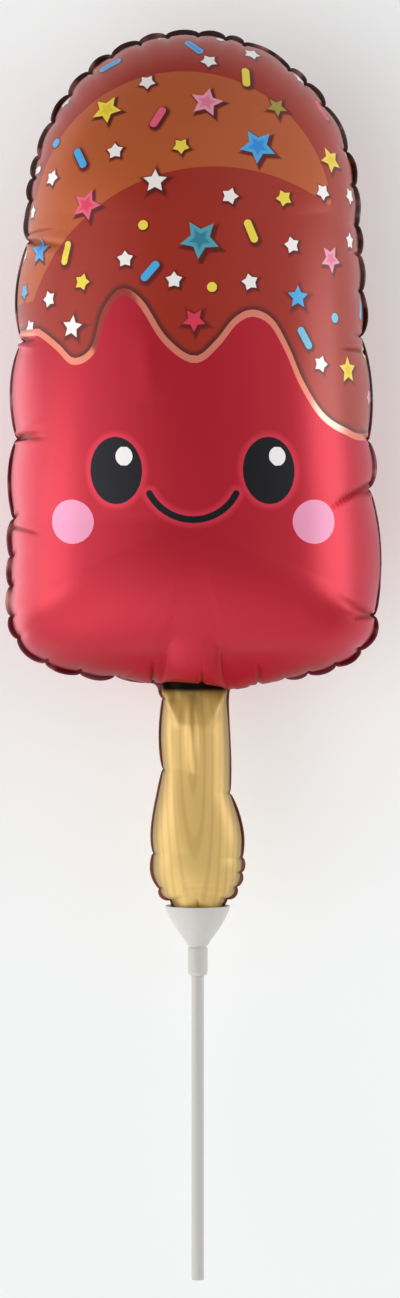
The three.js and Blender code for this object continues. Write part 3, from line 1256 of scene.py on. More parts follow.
@dataclass(frozen=True)
class SatinPlastic:
    """Off-white polypropylene with a satin face, as the cup and the stick have it.

    Attributes:
        name: The material's name.
        colour: Its colour.
        roughness: Its roughness.
        grain_mm: The size of its faint unevenness, across the lolly and along it.
        grain_detail: How much finer unevenness there is in that.
        grain_height: How high it stands.
        darkest: The tint of its darkest places.
        translucency: How much of its light comes out of its inside.
    """

    name: str
    colour: str
    roughness: float
    grain_mm: Point
    grain_detail: float
    grain_height: float
    darkest: float
    translucency: float

    def make(self) -> Material:
        """Make the plastic's material.

        Returns:
            The material, on Object coordinates.
        """
        material, tree, shader = new_material(self.name)
        across, along = (1 / (size * MM) for size in self.grain_mm)
        place = add_node(tree, "ShaderNodeTexCoord").outputs["Object"]
        drawn = add_node(tree, "ShaderNodeMapping", {"Vector": place, "Scale": (across, along, across)})
        grain = add_node(tree, NOISE, {"Vector": drawn, "Scale": 1.0, "Detail": self.grain_detail})
        tint = add_node(tree, MAP_RANGE, {"Value": grain, "To Min": self.darkest, "To Max": 1.03})
        colour = add_node(tree, VECTOR_MATH, {0: linear(self.colour)[:3], "Scale": tint}, operation="SCALE")
        bump = add_node(tree, "ShaderNodeBump", {"Height": grain, "Distance": self.grain_height * MM})
        feed(tree, shader, {
            "Base Color": colour, "Roughness": self.roughness, "Normal": bump,
            "Subsurface Weight": self.translucency, "Subsurface Radius": (0.003, 0.003, 0.003)})
        return material


@dataclass(frozen=True)
class MouldedPlastic(SatinPlastic):
    """Polypropylene, injection moulded in a satin tool: off-white, with soft broad highlights."""

    name: str = "Moulded polypropylene"
    colour: str = "#cfcdc8"
    roughness: float = 0.38
    grain_mm: Point = (3, 3)
    grain_detail: float = 3
    grain_height: float = 0.01
    darkest: float = 0.94
    translucency: float = 0.1


@dataclass(frozen=True)
class ExtrudedPlastic(SatinPlastic):
    """Polypropylene tube, extruded: off-white, with faint draw lines along it that stretch the highlight."""

    name: str = "Extruded polypropylene tube"
    colour: str = "#cdcac4"
    roughness: float = 0.34
    grain_mm: Point = (0.5, 60)
    grain_detail: float = 2
    grain_height: float = 0.015
    darkest: float = 0.95
    translucency: float = 0


def finish_piece(piece: Object, node: str, material: Material) -> Object:
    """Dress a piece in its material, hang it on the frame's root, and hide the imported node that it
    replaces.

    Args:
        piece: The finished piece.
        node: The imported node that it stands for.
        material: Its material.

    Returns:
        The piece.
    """
    piece.data.materials.clear()
    piece.data.materials.append(material)
    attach(piece, "root")
    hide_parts(node)
    LOG.info("%s: %d faces, stands for %s", piece.name, len(piece.data.polygons), node)
    return piece


class FlatFilm:
    """Finds where places of the front view lie on the flat film, by rays from the viewpoint."""

    def __init__(self, frame: LollyFrame, mesh: Mesh) -> None:
        """Index the mesh's triangles.

        Args:
            frame: The lolly's own frame.
            mesh: The filled balloon's film, with its column of places on the flat film.
        """
        mesh.calc_loop_triangles()
        self.frame = frame
        self.corners = [vertex.co.copy() for vertex in mesh.vertices]
        self.triangles = [tuple(triangle.vertices) for triangle in mesh.loop_triangles]
        self.tree = BVHTree.FromPolygons(self.corners, self.triangles)
        self.flat = [each.vector.copy() for each in mesh.attributes["sheet"].data]

    def under(self, places: Iterable[Point]) -> np.ndarray:
        """Cast a ray to each place.

        Args:
            places: Places as they show from the viewpoint, on the weld's plane.

        Returns:
            Places on the flat film.
        """
        viewpoint = Vector(self.frame.place(np.array(VIEWPOINT)))
        found = []
        for x, y in places:
            target = Vector(self.frame.place(np.array([x, y, 0])))
            hit, _, index, _ = self.tree.ray_cast(viewpoint, target - viewpoint)
            if hit is None:
                raise ValueError(f"no film under {x}, {y}")
            triangle = self.triangles[index]
            flat = barycentric_transform(
                hit, *(self.corners[i] for i in triangle), *(self.flat[i] for i in triangle))
            found.append(tuple(flat.xy))
        return np.array(found)

    def stretch(self, place: Point) -> float:
        """Measure how much larger the film is than it looks from the front.

        Args:
            place: The place, as it shows from the front.

        Returns:
            The enlargement in the direction that has least of it.
        """
        step = 1.2
        x, y = place
        inner_y = 400
        inward_x = -math.copysign(step, x)
        inward_y = math.copysign(step, inner_y - y)
        here, aside, along = self.under([place, (x + inward_x, y), (x, y + inward_y)])
        return float(np.linalg.svd(np.array([aside - here, along - here]) / step, compute_uv=False)[-1])


@dataclass
class FoilBalloon:
    """The filled balloon: front film, back film and the weld that joins them."""

    frame: LollyFrame
    outline: LollyOutline = field(default_factory=LollyOutline)
    inflation: Inflation = field(default_factory=Inflation)
    puckering: Puckering = field(default_factory=Puckering)
    layout: LollyPrint = field(default_factory=LollyPrint)
    cup_offset: float = 1.5
    cup_rim_y: float = 149.6
    film_half_thickness: float = 0.15
    spoke_spacing: float = 0.8
    body_rings: int = 42
    handle_rings: int = 22
    weld_rings: int = 3
    body_crease: float = 45
    handle_crease: float = 9
    overhang: float = 7
    overhang_middle: float = 8
    overhang_half_width: float = 30
    overhang_height: float = 30
    overhang_reach: float = 18
    overhang_fade: float = 10
    leans: tuple[tuple[float, float, float], ...] = ((1.3, 375, 55), (1.2, 494, 18))
    neck_shade: float = 1.6
    neck_shade_reach: float = 10
    hollow_shade: float = 1.3
    hollow_reach: Point = (15, 24)
    lower_shade: float = 0.9
    lower_shade_reach: float = 18
    lower_shade_power: float = 1.3
    body_folds: tuple[Fold, ...] = (
        Fold((-16.5, 238), (-15.8, 249), -1.2, 0.8), Fold((3.2, 238), (3.2, 250), -1.2, 0.8),
        Fold((25.6, 238), (25.6, 249), -1.2, 0.8), Fold((-17.4, 379), (-16, 348), 0.35, 4),
        Fold((10.6, 369.5), (10.6, 340.5), 0.35, 3.5), Fold((-82, 335.8), (-58, 334.8), -0.9, 0.7),
        Fold((-80, 303), (-60, 297), -0.8, 0.8), Fold((-78, 417.4), (-53, 417), -0.7, 0.7),
        Fold((77, 322), (53, 306.4), -1, 0.9), Fold((81, 267), (61.5, 263.6), -0.9, 0.8),
        Fold((76, 371), (59, 369.6), -0.9, 0.8))
    handle_folds: tuple[Fold, ...] = (
        Fold((-12.4, 241), (-5.5, 221), 1.9, 1.4), Fold((13, 241), (4.5, 219), 1.9, 1.4),
        Fold((0, 242), (0, 222), -1.4, 5), Fold((-1.1, 234), (-0.5, 203), 2.6, 1.7),
        Fold((-10.5, 237), (-7, 172), 0.8, 2.4))
    scattered_inks: tuple[Ink, ...] = (Ink.WHITE, Ink.YELLOW, Ink.BLUE, Ink.WHITE, Ink.PINK)

    def centre_shift(self, y: np.ndarray) -> np.ndarray:
        """Measure how far the centre line lies aside.

        Args:
            y: Heights along the lolly.

        Returns:
            The offsets to the right: a little left in places, and the cup's full offset from its rim down.
        """
        share = np.clip((y - self.cup_rim_y) / (self.outline.bottom_y - self.cup_rim_y), 0, 1)
        lean = sum(far * np.exp(-((y - height) / reach) ** 2) for far, height, reach in self.leans)
        return self.cup_offset * (1 - share * share * (3 - 2 * share)) - lean

    def fan(self, stretches: list[Stretch], folds: tuple[Fold, ...], rings: int, closed: bool) -> Fan:
        """Lay the spokes of the body or the handle.

        Args:
            stretches: The stretches of its half.
            folds: Its soft folds.
            rings: How many steps each spoke has.
            closed: Whether the spokes go all the way round.

        Returns:
            The fan.
        """
        notches = self.puckering.notches(stretches, self.spoke_spacing)
        right, left = (self.puckering.half(stretches, side, self.spoke_spacing, notches) for side in (1, -1))
        spokes = Spokes.chained([right, left.pick(slice(-2, 0 if closed else None, -1))])
        creases = self.puckering.creases(notches, self.body_crease if closed else self.handle_crease)
        return Fan(spokes, creases, folds, 2 * float(right.seam[-1]), rings, closed)

    def neck_lift(self, spokes: Spokes) -> np.ndarray:
        """Measure how high over the weld the body's spokes end.

        Args:
            spokes: The body's spokes.

        Returns:
            The heights: zero at the weld, and on top of the handle along the neck.
        """
        aside = np.minimum(np.abs(spokes.foot[:, 0]) / self.outline.handle_foot[0], 1)
        middle = self.inflation.of_handle(self.outline.neck_y) - self.film_half_thickness
        section = self.inflation.section(aside, self.inflation.handle_fullness)
        return np.where(spokes.welded, 0, middle * section)

    def plain_film(self, fan: Fan) -> tuple[np.ndarray, np.ndarray, np.ndarray]:
        """Lay out the front film without its creases.

        Args:
            fan: The spokes.

        Returns:
            By spoke and ring, the points, their places on the flat film, and their distance from the weld.
        """
        spokes = fan.spokes
        reach = Fan.reach(fan.rings)
        centre = spokes.centre[:, None]
        x = spokes.foot[:, :1] * reach
        y = centre + (spokes.foot[:, 1:] - centre) * reach
        thin = self.film_half_thickness
        if fan.closed:
            thickness = self.inflation.of_body(self.outline, centre) - thin
            crowned = self.inflation.of_body(self.outline, y) / self.inflation.of_body(self.outline, centre)
            fullness = spokes.fullness[:, None]
            cut_short = (1 - (self.neck_lift(spokes)[:, None] / thickness) ** 2) ** (1 / fullness)
        else:
            thickness = self.inflation.of_handle(centre) - thin
            crowned = 1
            fullness = self.inflation.handle_fullness
            cut_short = 1
        shortened = reach * (1 - (1 - cut_short) * reach ** 2)
        z = thin + thickness * self.inflation.section(shortened, fullness) * crowned
        points = np.stack([x, y, z], axis=2)
        steps = np.linalg.norm(np.diff(points, axis=1), axis=2)
        run = np.concatenate([np.zeros((len(x), 1)), np.cumsum(steps, axis=1)], axis=1)
        aim = spokes.foot - np.column_stack([np.zeros(len(x)), spokes.centre])
        aim /= np.linalg.norm(aim, axis=1)[:, None]
        sheet = aim[:, None, :] * run[:, :, None]
        sheet[:, :, 1] += centre
        return points, sheet, run[:, -1:] - run

    def normals(self, fan: Fan, points: np.ndarray) -> np.ndarray:
        """Find a film's unit normals, from each point's neighbours along its spoke and beside it.

        Args:
            fan: The spokes.
            points: The film's points by spoke and ring.

        Returns:
            The normals, which lean to neither side on the centre line, where the two halves meet.
        """
        normal = np.cross(np.gradient(points, axis=1), fan.beside(points))
        normal[:, 0, 0] = 0
        size = np.linalg.norm(normal, axis=2, keepdims=True)
        normal = np.where(size > 1e-9, normal / np.maximum(size, 1e-9), np.array([0.0, 0.0, 1.0]))
        return normal * np.sign(normal[:, :, 2:] + 1e-12)

    def overhung(self, points: np.ndarray) -> np.ndarray:
        """Let the body's lower end bulge out over the handle and the weld beside it.

        Args:
            points: The body's points by spoke and ring.

        Returns:
            The moved points.
        """
        x, y, z = np.moveaxis(points, 2, 0)
        near = np.clip((self.outline.neck_y + self.overhang_reach - y) / self.overhang_fade, 0, 1)
        beside = np.exp(-((x - self.overhang_middle) / self.overhang_half_width) ** 2)
        up = np.clip((z - z[:, -1:]) / self.overhang_height, 0, 1)
        moved = points.copy()
        moved[:, :, 1] -= self.overhang * near * beside * np.sin(np.pi * up)
        return moved

    def film(self, fan: Fan) -> dict[str, np.ndarray]:
        """Lay out the front film, creased and finished by the weld's rings.

        Args:
            fan: The spokes.

        Returns:
            By spoke and ring, the points, the lift that both films share, and the mesh's columns: places on
            the flat film, distance from the weld, below zero out on it, shade, and depth in the handle.
        """
        points, sheet, inward = self.plain_film(fan)
        height, shade = self.puckering.relief(fan, points, inward)
        x, y, _ = np.moveaxis(points, 2, 0)
        if fan.closed:
            handle = np.full(inward.shape, -1.0)
            handle[~fan.spokes.welded, -1] = 0
            height[~fan.spokes.welded, -1] = 0
            near_end = np.clip(1 - (y - self.outline.bottom_y) / self.lower_shade_reach, 0, 1)
            shade = np.maximum(shade, self.lower_shade * near_end ** self.lower_shade_power)
        else:
            handle = self.outline.neck_y - y
            height[[0, -1]] = 0
            fan.even_middle(height)
            # Painted shadow under the body's overhang, near-black where it passes 1, and painted shade in the
            # hollow below it.
            down = self.outline.bottom_y - y
            near_neck = np.clip(1 - down / self.neck_shade_reach, 0, 1)
            hollow_x, hollow_y = self.hollow_reach
            in_hollow = np.clip(1 - down / hollow_y - np.abs(x) / hollow_x, 0, 1)
            shade = np.max([shade, self.neck_shade * near_neck, self.hollow_shade * in_hollow], axis=0)
        points = points + self.normals(fan, points) * height[:, :, None]
        if fan.closed:
            points = self.overhung(points)
        points[:, :, 2] = np.maximum(points[:, :, 2], self.film_half_thickness)
        points[fan.spokes.welded, -1, 2] = self.film_half_thickness
        foot = points[:, -1]
        out_over_weld = np.column_stack([fan.spokes.rim, foot[:, 2]]) - foot
        share = np.linspace(0, 1, self.weld_rings + 1)[1:]
        points = np.concatenate([points, foot[:, None] + out_over_weld[:, None] * share[:, None]], axis=1)
        points[:, :, 0] += self.centre_shift(points[:, :, 1])
        width = np.linalg.norm(out_over_weld, axis=1)[:, None] * share
        over_weld = np.concatenate([np.zeros(inward.shape), width], axis=1)
        last_kept = np.minimum(np.arange(over_weld.shape[1]), fan.rings)
        lift = self.puckering.bent(fan.spokes, inward[:, last_kept], over_weld)
        fan.even_middle(lift)
        return {
            "points": points,
            "lift": lift,
            "sheet": sheet[:, last_kept],
            "inward": inward[:, last_kept] - over_weld,
            "shade": np.concatenate([shade, np.zeros(width.shape)], axis=1),
            "handle": handle[:, last_kept],
        }

    def faces(self, fan: Fan) -> tuple[np.ndarray, np.ndarray]:
        """List the faces of one film by index.

        Args:
            fan: The spokes.

        Returns:
            The quads, and the pairs of rim points that the weld's edge joins.
        """
        around = len(fan.spokes.seam)
        rings = fan.rings + self.weld_rings + 1
        count = around if fan.closed else around - 1
        spoke, ring = (grid.ravel() for grid in np.indices((count, rings - 1)))
        beside = (spoke + 1) % around
        kept = (ring < fan.rings) | (fan.spokes.welded[spoke] & fan.spokes.welded[beside])
        spoke, ring, beside = spoke[kept], ring[kept], beside[kept]
        inner, inner_beside = spoke * rings + ring, beside * rings + ring
        quads = np.column_stack([inner, inner + 1, inner_beside + 1, inner_beside])
        return quads, quads[ring == rings - 2, 1:3]

    def skin(self, fans: Sequence[Fan]) -> Object:
        """Make the mesh: each fan's front film, its mirror image for the back, and the weld's edge.

        Args:
            fans: The body's spokes and the handle's.

        Returns:
            The balloon, closed, with the film's own columns.
        """
        points = []
        columns: dict[str, list[np.ndarray]] = {"sheet": [], "inward": [], "shade": [], "handle": []}
        faces = []
        start = 0
        for fan in fans:
            film = self.film(fan)
            quads, edges = self.faces(fan)
            lift = film["lift"].reshape(-1, 1) * [0, 0, 1]
            front = film["points"].reshape(-1, 3)
            size = len(front)
            points += [front + lift, front * [1, 1, -1] + lift]
            strip = np.column_stack([edges[:, 0], edges[:, 0] + size, edges[:, 1] + size, edges[:, 1]])
            faces.append(np.vstack([quads, quads[:, ::-1] + size, strip]) + start)
            start += 2 * size
            for name, column in columns.items():
                column += [film[name].reshape(size, -1)] * 2
        points = np.concatenate(points)
        crown = self.inflation.body
        points[:, 2] = np.clip(points[:, 2], self.inflation.flat_spot - crown, crown)
        mesh = bpy.data.meshes.new("Balloon_film")
        mesh.from_pydata(self.frame.place(points).tolist(), [], np.vstack(faces).tolist())
        for name, column in columns.items():
            write_column(mesh, name, np.concatenate(column))
        balloon = bpy.data.objects.new("Balloon_film", mesh)
        bpy.context.scene.collection.objects.link(balloon)
        bpy.ops.object.select_all(action="DESELECT")
        balloon.select_set(True)
        bpy.context.view_layer.objects.active = balloon
        bpy.ops.object.mode_set(mode="EDIT")
        bpy.ops.mesh.select_all(action="SELECT")
        bpy.ops.mesh.remove_doubles(threshold=0.00001)
        bpy.ops.mesh.dissolve_degenerate(threshold=0.000001)
        bpy.ops.mesh.normals_make_consistent(inside=False)
        bpy.ops.object.mode_set(mode="OBJECT")
        bpy.ops.object.shade_smooth()
        return balloon

    def sheen_outline(self, flat: FlatFilm) -> Line:
        """Outline the sheen, a crescent that runs off the body's left edge.

        Args:
            flat: What finds places on the flat film.

        Returns:
            The outline on the flat film.
        """
        layout = self.layout
        arcs = ((layout.sheen_centre, layout.sheen_radius, layout.sheen_span),
                (layout.hollow_centre, layout.hollow_radius, layout.hollow_span))
        seen = [Line.arc(centre, (radius, radius), span, count=24).points for centre, radius, span in arcs]
        outline = flat.under(map(tuple, np.vstack(seen)))
        past_edge = 30
        run_off = outline[[-1, 0]] - [past_edge, 0]
        return Line(np.vstack([outline, run_off, outline[:1]]))

    def drip_line(self, flat: FlatFilm) -> Line:
        """Draw the chocolate's dripping edge, on past both sides of the body.

        Args:
            flat: What finds places on the flat film.

        Returns:
            The line on the flat film, from left to right.
        """
        inner = flat.under(self.layout.drip)
        past_edge = 60
        run_off = inner[[0, -1]] + [[-past_edge, 0], [past_edge, 0]]
        return Line.spline([run_off[0], *inner, run_off[1]], steps=10)

    def scattered(self, placed: np.ndarray, candidates: np.ndarray) -> list[Sprinkle]:
        """Scatter small sprinkles round the balloon's sides, which the front view doesn't show.

        Args:
            placed: The middles of the sprinkles that are there, on the flat film.
            candidates: Places on the flat film that may have one.

        Returns:
            The added sprinkles, placed on the flat film.
        """
        layout = self.layout
        draw = np.random.default_rng(SEED + 1)
        taken = [np.array(place) for place in placed]
        added = []
        for index in draw.permutation(len(candidates))[:layout.scatter_tries]:
            place = candidates[index]
            if min(np.linalg.norm(np.array(taken) - place, axis=1)) < layout.scatter_gap:
                continue
            taken.append(place)
            shape, radius = SprinkleShape.SMALL_STAR, layout.small_radius
            if len(added) % 3 == 2:
                shape, radius = SprinkleShape.ROD, layout.rod_reach
            ink = self.scattered_inks[len(added) % len(self.scattered_inks)]
            added.append(Sprinkle(shape, ink, tuple(place), radius, draw.uniform(0, 360)))
        return added

    def lay_print(self, mesh: Mesh) -> None:
        """Write the print's columns on the film: its fields' depths, and each face's nearest sprinkle.

        Args:
            mesh: The film.
        """
        sheet = np.zeros(len(mesh.vertices) * 3, np.float32)
        mesh.attributes["sheet"].data.foreach_get("vector", sheet)
        sheet = sheet.reshape(-1, 3)[:, :2].astype(float)
        inward = np.zeros(len(mesh.vertices), np.float32)
        mesh.attributes["inward"].data.foreach_get("value", inward)
        flat = FlatFilm(self.frame, mesh)
        layout = self.layout
        edge = self.drip_line(flat)
        chocolate = edge.signed_distance(sheet)
        tone = []
        for spot, fade in zip((layout.dull_spot, layout.shiny_spot), layout.spot_fades):
            centre = tuple(flat.under([spot.centre])[0])
            tone.append(np.clip(Oval(centre, spot.radii).depth(sheet) / fade, 0, 1))
        write_column(mesh, "chocolate", chocolate)
        write_column(mesh, "drip", edge.signed_distance(sheet + [0, layout.drip_hang]))
        write_column(mesh, "drip_tone", tone[1] - tone[0])
        write_column(mesh, "sheen", self.sheen_outline(flat).depth(sheet))
        write_column(mesh, "smile", layout.smile.offsets(sheet))
        for name, ovals in (("eyes", layout.eyes), ("glints", layout.glints), ("cheeks", layout.cheeks)):
            write_column(mesh, name, np.maximum(*(oval.depth(sheet) for oval in ovals)))
        seen = layout.sprinkles()
        centres = flat.under(sprinkle.centre for sprinkle in seen)
        grown = [
            replace(sprinkle, centre=tuple(centre), radius=sprinkle.radius * flat.stretch(sprinkle.centre))
            for sprinkle, centre in zip(seen, centres)]
        least, most = layout.hidden_reach
        hidden = sheet[(chocolate > layout.scatter_margin) & (inward > least) & (inward < most)]
        self.lay_sprinkles(mesh, sheet, [*grown, *self.scattered(centres, hidden)])

    def lay_sprinkles(self, mesh: Mesh, sheet: np.ndarray, sprinkles: list[Sprinkle]) -> None:
        """Give each face the place, shape, turn and ink of its nearest sprinkle.

        Args:
            mesh: The film.
            sheet: The vertices' places on the flat film.
            sprinkles: All sprinkles, placed on the flat film.
        """
        corners, starts, sizes = (np.zeros(count, np.int32) for count in (
            len(mesh.loops), len(mesh.polygons), len(mesh.polygons)))
        mesh.loops.foreach_get("vertex_index", corners)
        mesh.polygons.foreach_get("loop_start", starts)
        mesh.polygons.foreach_get("loop_total", sizes)
        middles = np.add.reduceat(sheet[corners], starts, axis=0) / sizes[:, None]
        centres = np.array([sprinkle.centre for sprinkle in sprinkles])
        nearest = np.zeros(len(middles), int)
        best = np.full(len(middles), np.inf)
        for number, centre in enumerate(centres):
            gap = np.linalg.norm(middles - centre, axis=1)
            nearest[gap < best] = number
            best = np.minimum(best, gap)
        own = np.repeat(nearest, sizes)
        radius = np.array([sprinkle.radius for sprinkle in sprinkles])
        turn = np.radians([sprinkle.turn for sprinkle in sprinkles])
        shape = np.array([sprinkle.shape.value for sprinkle in sprinkles])
        ink = np.array([linear(sprinkle.ink.value) for sprinkle in sprinkles])
        columns = {
            "sprinkle_shape": shape[own], "sprinkle_turn": turn[own], "sprinkle_ink": ink[own],
            "sprinkle_cored": radius[own] > self.layout.cored_radius,
            "sprinkle_place": (sheet[corners] - centres[own]) / radius[own, None]}
        for name, column in columns.items():
            write_column(mesh, name, column, "CORNER")

    def build(self) -> Object:
        """Build and dress the balloon.

        Returns:
            The finished piece.
        """
        neck_shares = 1 - Fan.reach(self.handle_rings)[::-1]
        balloon = self.skin([
            self.fan(self.outline.body(neck_shares), self.body_folds, self.body_rings, True),
            self.fan(self.outline.grip(), self.handle_folds, self.handle_rings, False)])
        self.lay_print(balloon.data)
        return finish_piece(balloon, "foil_balloon", PrintedFilm().make())


def turned_piece(name: str, rings: Sequence[Point], centre: Vector, sides: int) -> Object:
    """Model a turned piece as by hand: a circle is extruded along the lolly and scaled, ring after ring.

    Args:
        name: The piece's name.
        rings: Radius and height y of each ring, in millimetres. The last one closes on the first.
        centre: Where the piece's axis starts, in metres. It runs along +Y.
        sides: How many sides the circle has.

    Returns:
        The piece, closed, with its place in its mesh.
    """
    (radius, height), *others = rings
    bpy.ops.object.select_all(action="DESELECT")
    bpy.ops.mesh.primitive_circle_add(
        vertices=sides, radius=radius * MM, fill_type="NOTHING", rotation=(math.pi / 2, 0, 0),
        location=centre + Vector((0, height * MM, 0)))
    piece = bpy.context.object
    piece.name = name
    piece.data.name = name
    bpy.ops.object.transform_apply(location=True, rotation=True, scale=True)
    bpy.ops.object.mode_set(mode="EDIT")
    bpy.ops.mesh.select_all(action="SELECT")
    for next_radius, next_height in [*others, rings[0]]:
        bpy.ops.mesh.extrude_region_move(
            TRANSFORM_OT_translate={"value": (0, (next_height - height) * MM, 0)})
        share = next_radius / radius
        bpy.ops.transform.resize(
            value=(share, 1, share), center_override=centre + Vector((0, next_height * MM, 0)))
        radius, height = next_radius, next_height
    bpy.ops.mesh.select_all(action="SELECT")
    bpy.ops.mesh.remove_doubles(threshold=0.000002)
    bpy.ops.mesh.normals_make_consistent(inside=False)
    bpy.ops.object.mode_set(mode="OBJECT")
    eased_mm = 0.2
    bevel = piece.modifiers.new("Eased edges", "BEVEL")
    bevel.width = eased_mm * MM
    bevel.segments = 3
    bevel.limit_method = "ANGLE"
    bevel.angle_limit = math.radians(35)
    bpy.ops.object.modifier_apply(modifier=bevel.name)
    # Two eased edges meet on the collar's narrow end, and leave a ring of faces without width.
    bpy.ops.object.mode_set(mode="EDIT")
    bpy.ops.mesh.select_all(action="SELECT")
    bpy.ops.mesh.remove_doubles(threshold=0.000002)
    bpy.ops.object.mode_set(mode="OBJECT")
    bpy.ops.object.shade_smooth_by_angle(angle=math.radians(40))
    return piece


@dataclass
class HolderCup:
    """The moulded cup: a rounded funnel that grips the balloon's tail, and a collar that grips the stick."""

    frame: LollyFrame
    offset: float = 1.5
    rim_y: float = 149.6
    rim_radius: float = 13.1
    throat_y: float = 134
    throat_radius: float = 4.2
    floor_y: float = 138.6
    wall: float = 0.9
    collar_radius: float = 4
    collar_end_y: float = 121.6
    collar_end: tuple[Point, ...] = ((0.9, 0), (0.35, 0.5), (0.1, 1.3), (0, 2.4))
    groove: tuple[Point, ...] = ((0, 1.4), (0.45, 0.9), (0.45, 0.5))
    hole_radius: float = 0.4
    socket_radius: float = 2.8
    socket_top_y: float = 136
    funnel_steps: int = 9
    funnel_swell: float = 0.55
    funnel_power: float = 1.15
    sides: int = 96

    def funnel(self, inset: float, low_y: float) -> list[Point]:
        """List the funnel's rings, steep near the rim and rounder below.

        Args:
            inset: How much less their radius is than the outside's.
            low_y: The height of the throat.

        Returns:
            Radius and height of each ring, from the throat up to the rim.
        """
        rings = []
        for step in range(1, self.funnel_steps + 1):
            share = step / self.funnel_steps
            swell = math.sin(share * math.pi / 2) ** self.funnel_power
            opened = share + self.funnel_swell * (swell - share)
            radius = self.throat_radius + (self.rim_radius - self.throat_radius) * opened
            rings.append((radius - inset, low_y + (self.rim_y - low_y) * share))
        return rings

    def build(self) -> Object:
        """Build and dress the cup.

        Returns:
            The finished piece.
        """
        collar = self.collar_radius
        end = self.collar_end_y
        rings = [
            (self.hole_radius, self.socket_top_y),
            (self.socket_radius, self.socket_top_y),
            (self.socket_radius, end),
            *((collar - inset, end + up) for inset, up in self.collar_end),
            *((collar - inset, self.throat_y - down) for inset, down in self.groove),
            (self.throat_radius, self.throat_y),
            *self.funnel(0, self.throat_y),
            *reversed(self.funnel(self.wall, self.floor_y)),
            (self.hole_radius, self.floor_y),
        ]
        centre = Vector(self.frame.place(np.array([self.offset, 0, 0])))
        cup = turned_piece("Cup_moulding", rings, centre, self.sides)
        return finish_piece(cup, "holder_cup", MouldedPlastic().make())


@dataclass
class HolderStick:
    """The tube stick, open at its free end."""

    frame: LollyFrame
    offset: float = 1.5
    radius: float = 2.5
    bore: float = 1.8
    top_y: float = 135.6
    sides: int = 64

    def build(self) -> Object:
        """Build and dress the stick.

        Returns:
            The finished piece.
        """
        rings = [(self.bore, self.top_y), (self.bore, 0), (self.radius, 0), (self.radius, self.top_y)]
        centre = Vector(self.frame.place(np.array([self.offset, 0, 0])))
        stick = turned_piece("Stick_tube", rings, centre, self.sides)
        return finish_piece(stick, "holder_stick", ExtrudedPlastic().make())


@dataclass(frozen=True)
class Glow:
    """A soft glow of the studio's walls, brightest one way and fading out at an angle from there."""

    way: tuple[float, float, float]
    reach_degrees: float
    strength: float


@dataclass(frozen=True)
class Softbox:
    """A rectangular light.

    Attributes:
        name: Its name.
        middle: Where its middle is, in the lolly's own frame.
        size: Its size across the lolly and along it.
        turn: How far it is turned round the lolly's length from facing down, in degrees.
        radiance: How bright its face is.
    """

    name: str
    middle: tuple[float, float, float]
    size: Point
    turn: float
    radiance: float


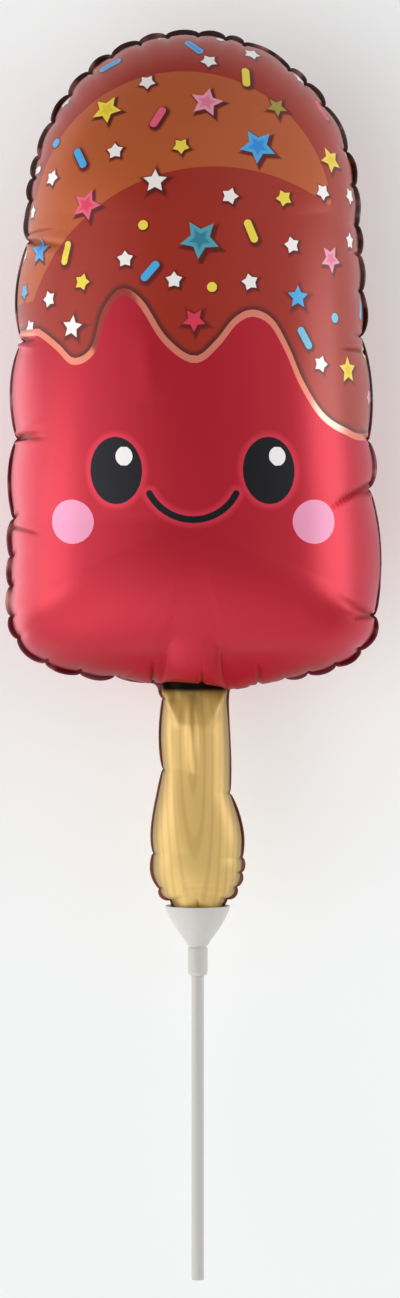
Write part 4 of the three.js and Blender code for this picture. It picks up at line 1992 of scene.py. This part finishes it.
@dataclass
class Studio:
    """A pale floor, soft light and the camera, which looks straight down on the lolly's face.

    Two softboxes stand beside the lolly, and a light panel lies on the floor outside the camera's view.
    """

    frame: LollyFrame
    view_height: float = 519.2
    sensor: float = 36
    floor_colour: str = "#f2f5f5"
    floor_glow: float = 0.15
    dim: float = 0.23
    glows: tuple[Glow, ...] = (
        Glow((-0.85, -0.42, 0.5), 62, 1.3), Glow((0.1, -0.9, 0.45), 60, 0.65), Glow((0.8, 0.4, 0.5), 65, 0.5))
    softboxes: tuple[Softbox, ...] = (
        Softbox("Left softbox", (-750, 254, 177.5), (445, 268), -90, 2.3),
        Softbox("Right softbox", (750, 362.5, 167.5), (425, 355), 90, 3.1),
        Softbox("Left panel", (-355, 305, -48), (490, 160), 180, 1.3))

    def lay_floor(self) -> None:
        """Lay the floor."""
        bpy.ops.object.select_all(action="DESELECT")
        bpy.ops.mesh.primitive_plane_add(size=6, location=(0, 0, 0))
        floor = bpy.context.object
        floor.name = "Floor"
        material, tree, shader = new_material("Paper with light from inside")
        feed(tree, shader, {
            "Base Color": linear(self.floor_colour), "Roughness": 0.9, "Emission Color": (1, 1, 1, 1),
            "Emission Strength": self.floor_glow})
        floor.data.materials.append(material)

    def light_walls(self) -> None:
        """Light the room by the glows of its walls."""
        world = bpy.data.worlds.new("Studio")
        world.use_nodes = True
        tree = world.node_tree
        way = add_node(tree, "ShaderNodeTexCoord").outputs["Generated"]
        total = self.dim
        for glow in self.glows:
            facing = add_node(tree, VECTOR_MATH, {0: way, 1: Vector(glow.way).normalized()},
                              operation="DOT_PRODUCT")
            lobe = add_node(tree, MAP_RANGE, {
                "Value": facing, "From Min": math.cos(math.radians(glow.reach_degrees)),
                "To Max": glow.strength}, interpolation_type="SMOOTHSTEP")
            total = add_node(tree, MATH, {0: total, 1: lobe})
        feed(tree, tree.nodes["Background"], {"Strength": total, "Color": (1, 1, 1, 1)})
        bpy.context.scene.world = world

    def hang(self, softbox: Softbox) -> None:
        """Hang a softbox in its place.

        Args:
            softbox: The softbox.
        """
        light = bpy.data.lights.new(softbox.name, "AREA")
        light.shape = "RECTANGLE"
        light.size, light.size_y = (side * MM for side in softbox.size)
        light.energy = softbox.radiance * math.pi * light.size * light.size_y
        holder = bpy.data.objects.new(softbox.name, light)
        holder.location = self.frame.place(np.array(softbox.middle))
        holder.rotation_euler = (0, math.radians(softbox.turn), 0)
        bpy.context.scene.collection.objects.link(holder)

    def place_camera(self) -> None:
        """Place the camera at the photograph's viewing angle, with a long lens."""
        data = bpy.data.cameras.new("Camera")
        data.sensor_width = self.sensor
        data.lens = self.sensor * VIEWPOINT[2] / self.view_height
        camera = bpy.data.objects.new("Camera", data)
        camera.location = self.frame.place(np.array(VIEWPOINT))
        bpy.context.scene.collection.objects.link(camera)
        bpy.context.scene.camera = camera

    def build(self) -> None:
        """Set the whole studio up."""
        bpy.context.scene.view_settings.view_transform = "Standard"
        self.lay_floor()
        self.light_walls()
        for softbox in self.softboxes:
            self.hang(softbox)
        self.place_camera()


def main() -> None:
    """Load the frame, and build the lolly's pieces and the studio."""
    logging.basicConfig(level=logging.INFO, format="%(message)s")
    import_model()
    balloon = FoilBalloon(LollyFrame.of_pack(FoilBalloon.cup_offset))
    balloon.build()
    HolderCup(balloon.frame).build()
    HolderStick(balloon.frame).build()
    Studio(balloon.frame).build()


if __name__ == "__main__":
    main()
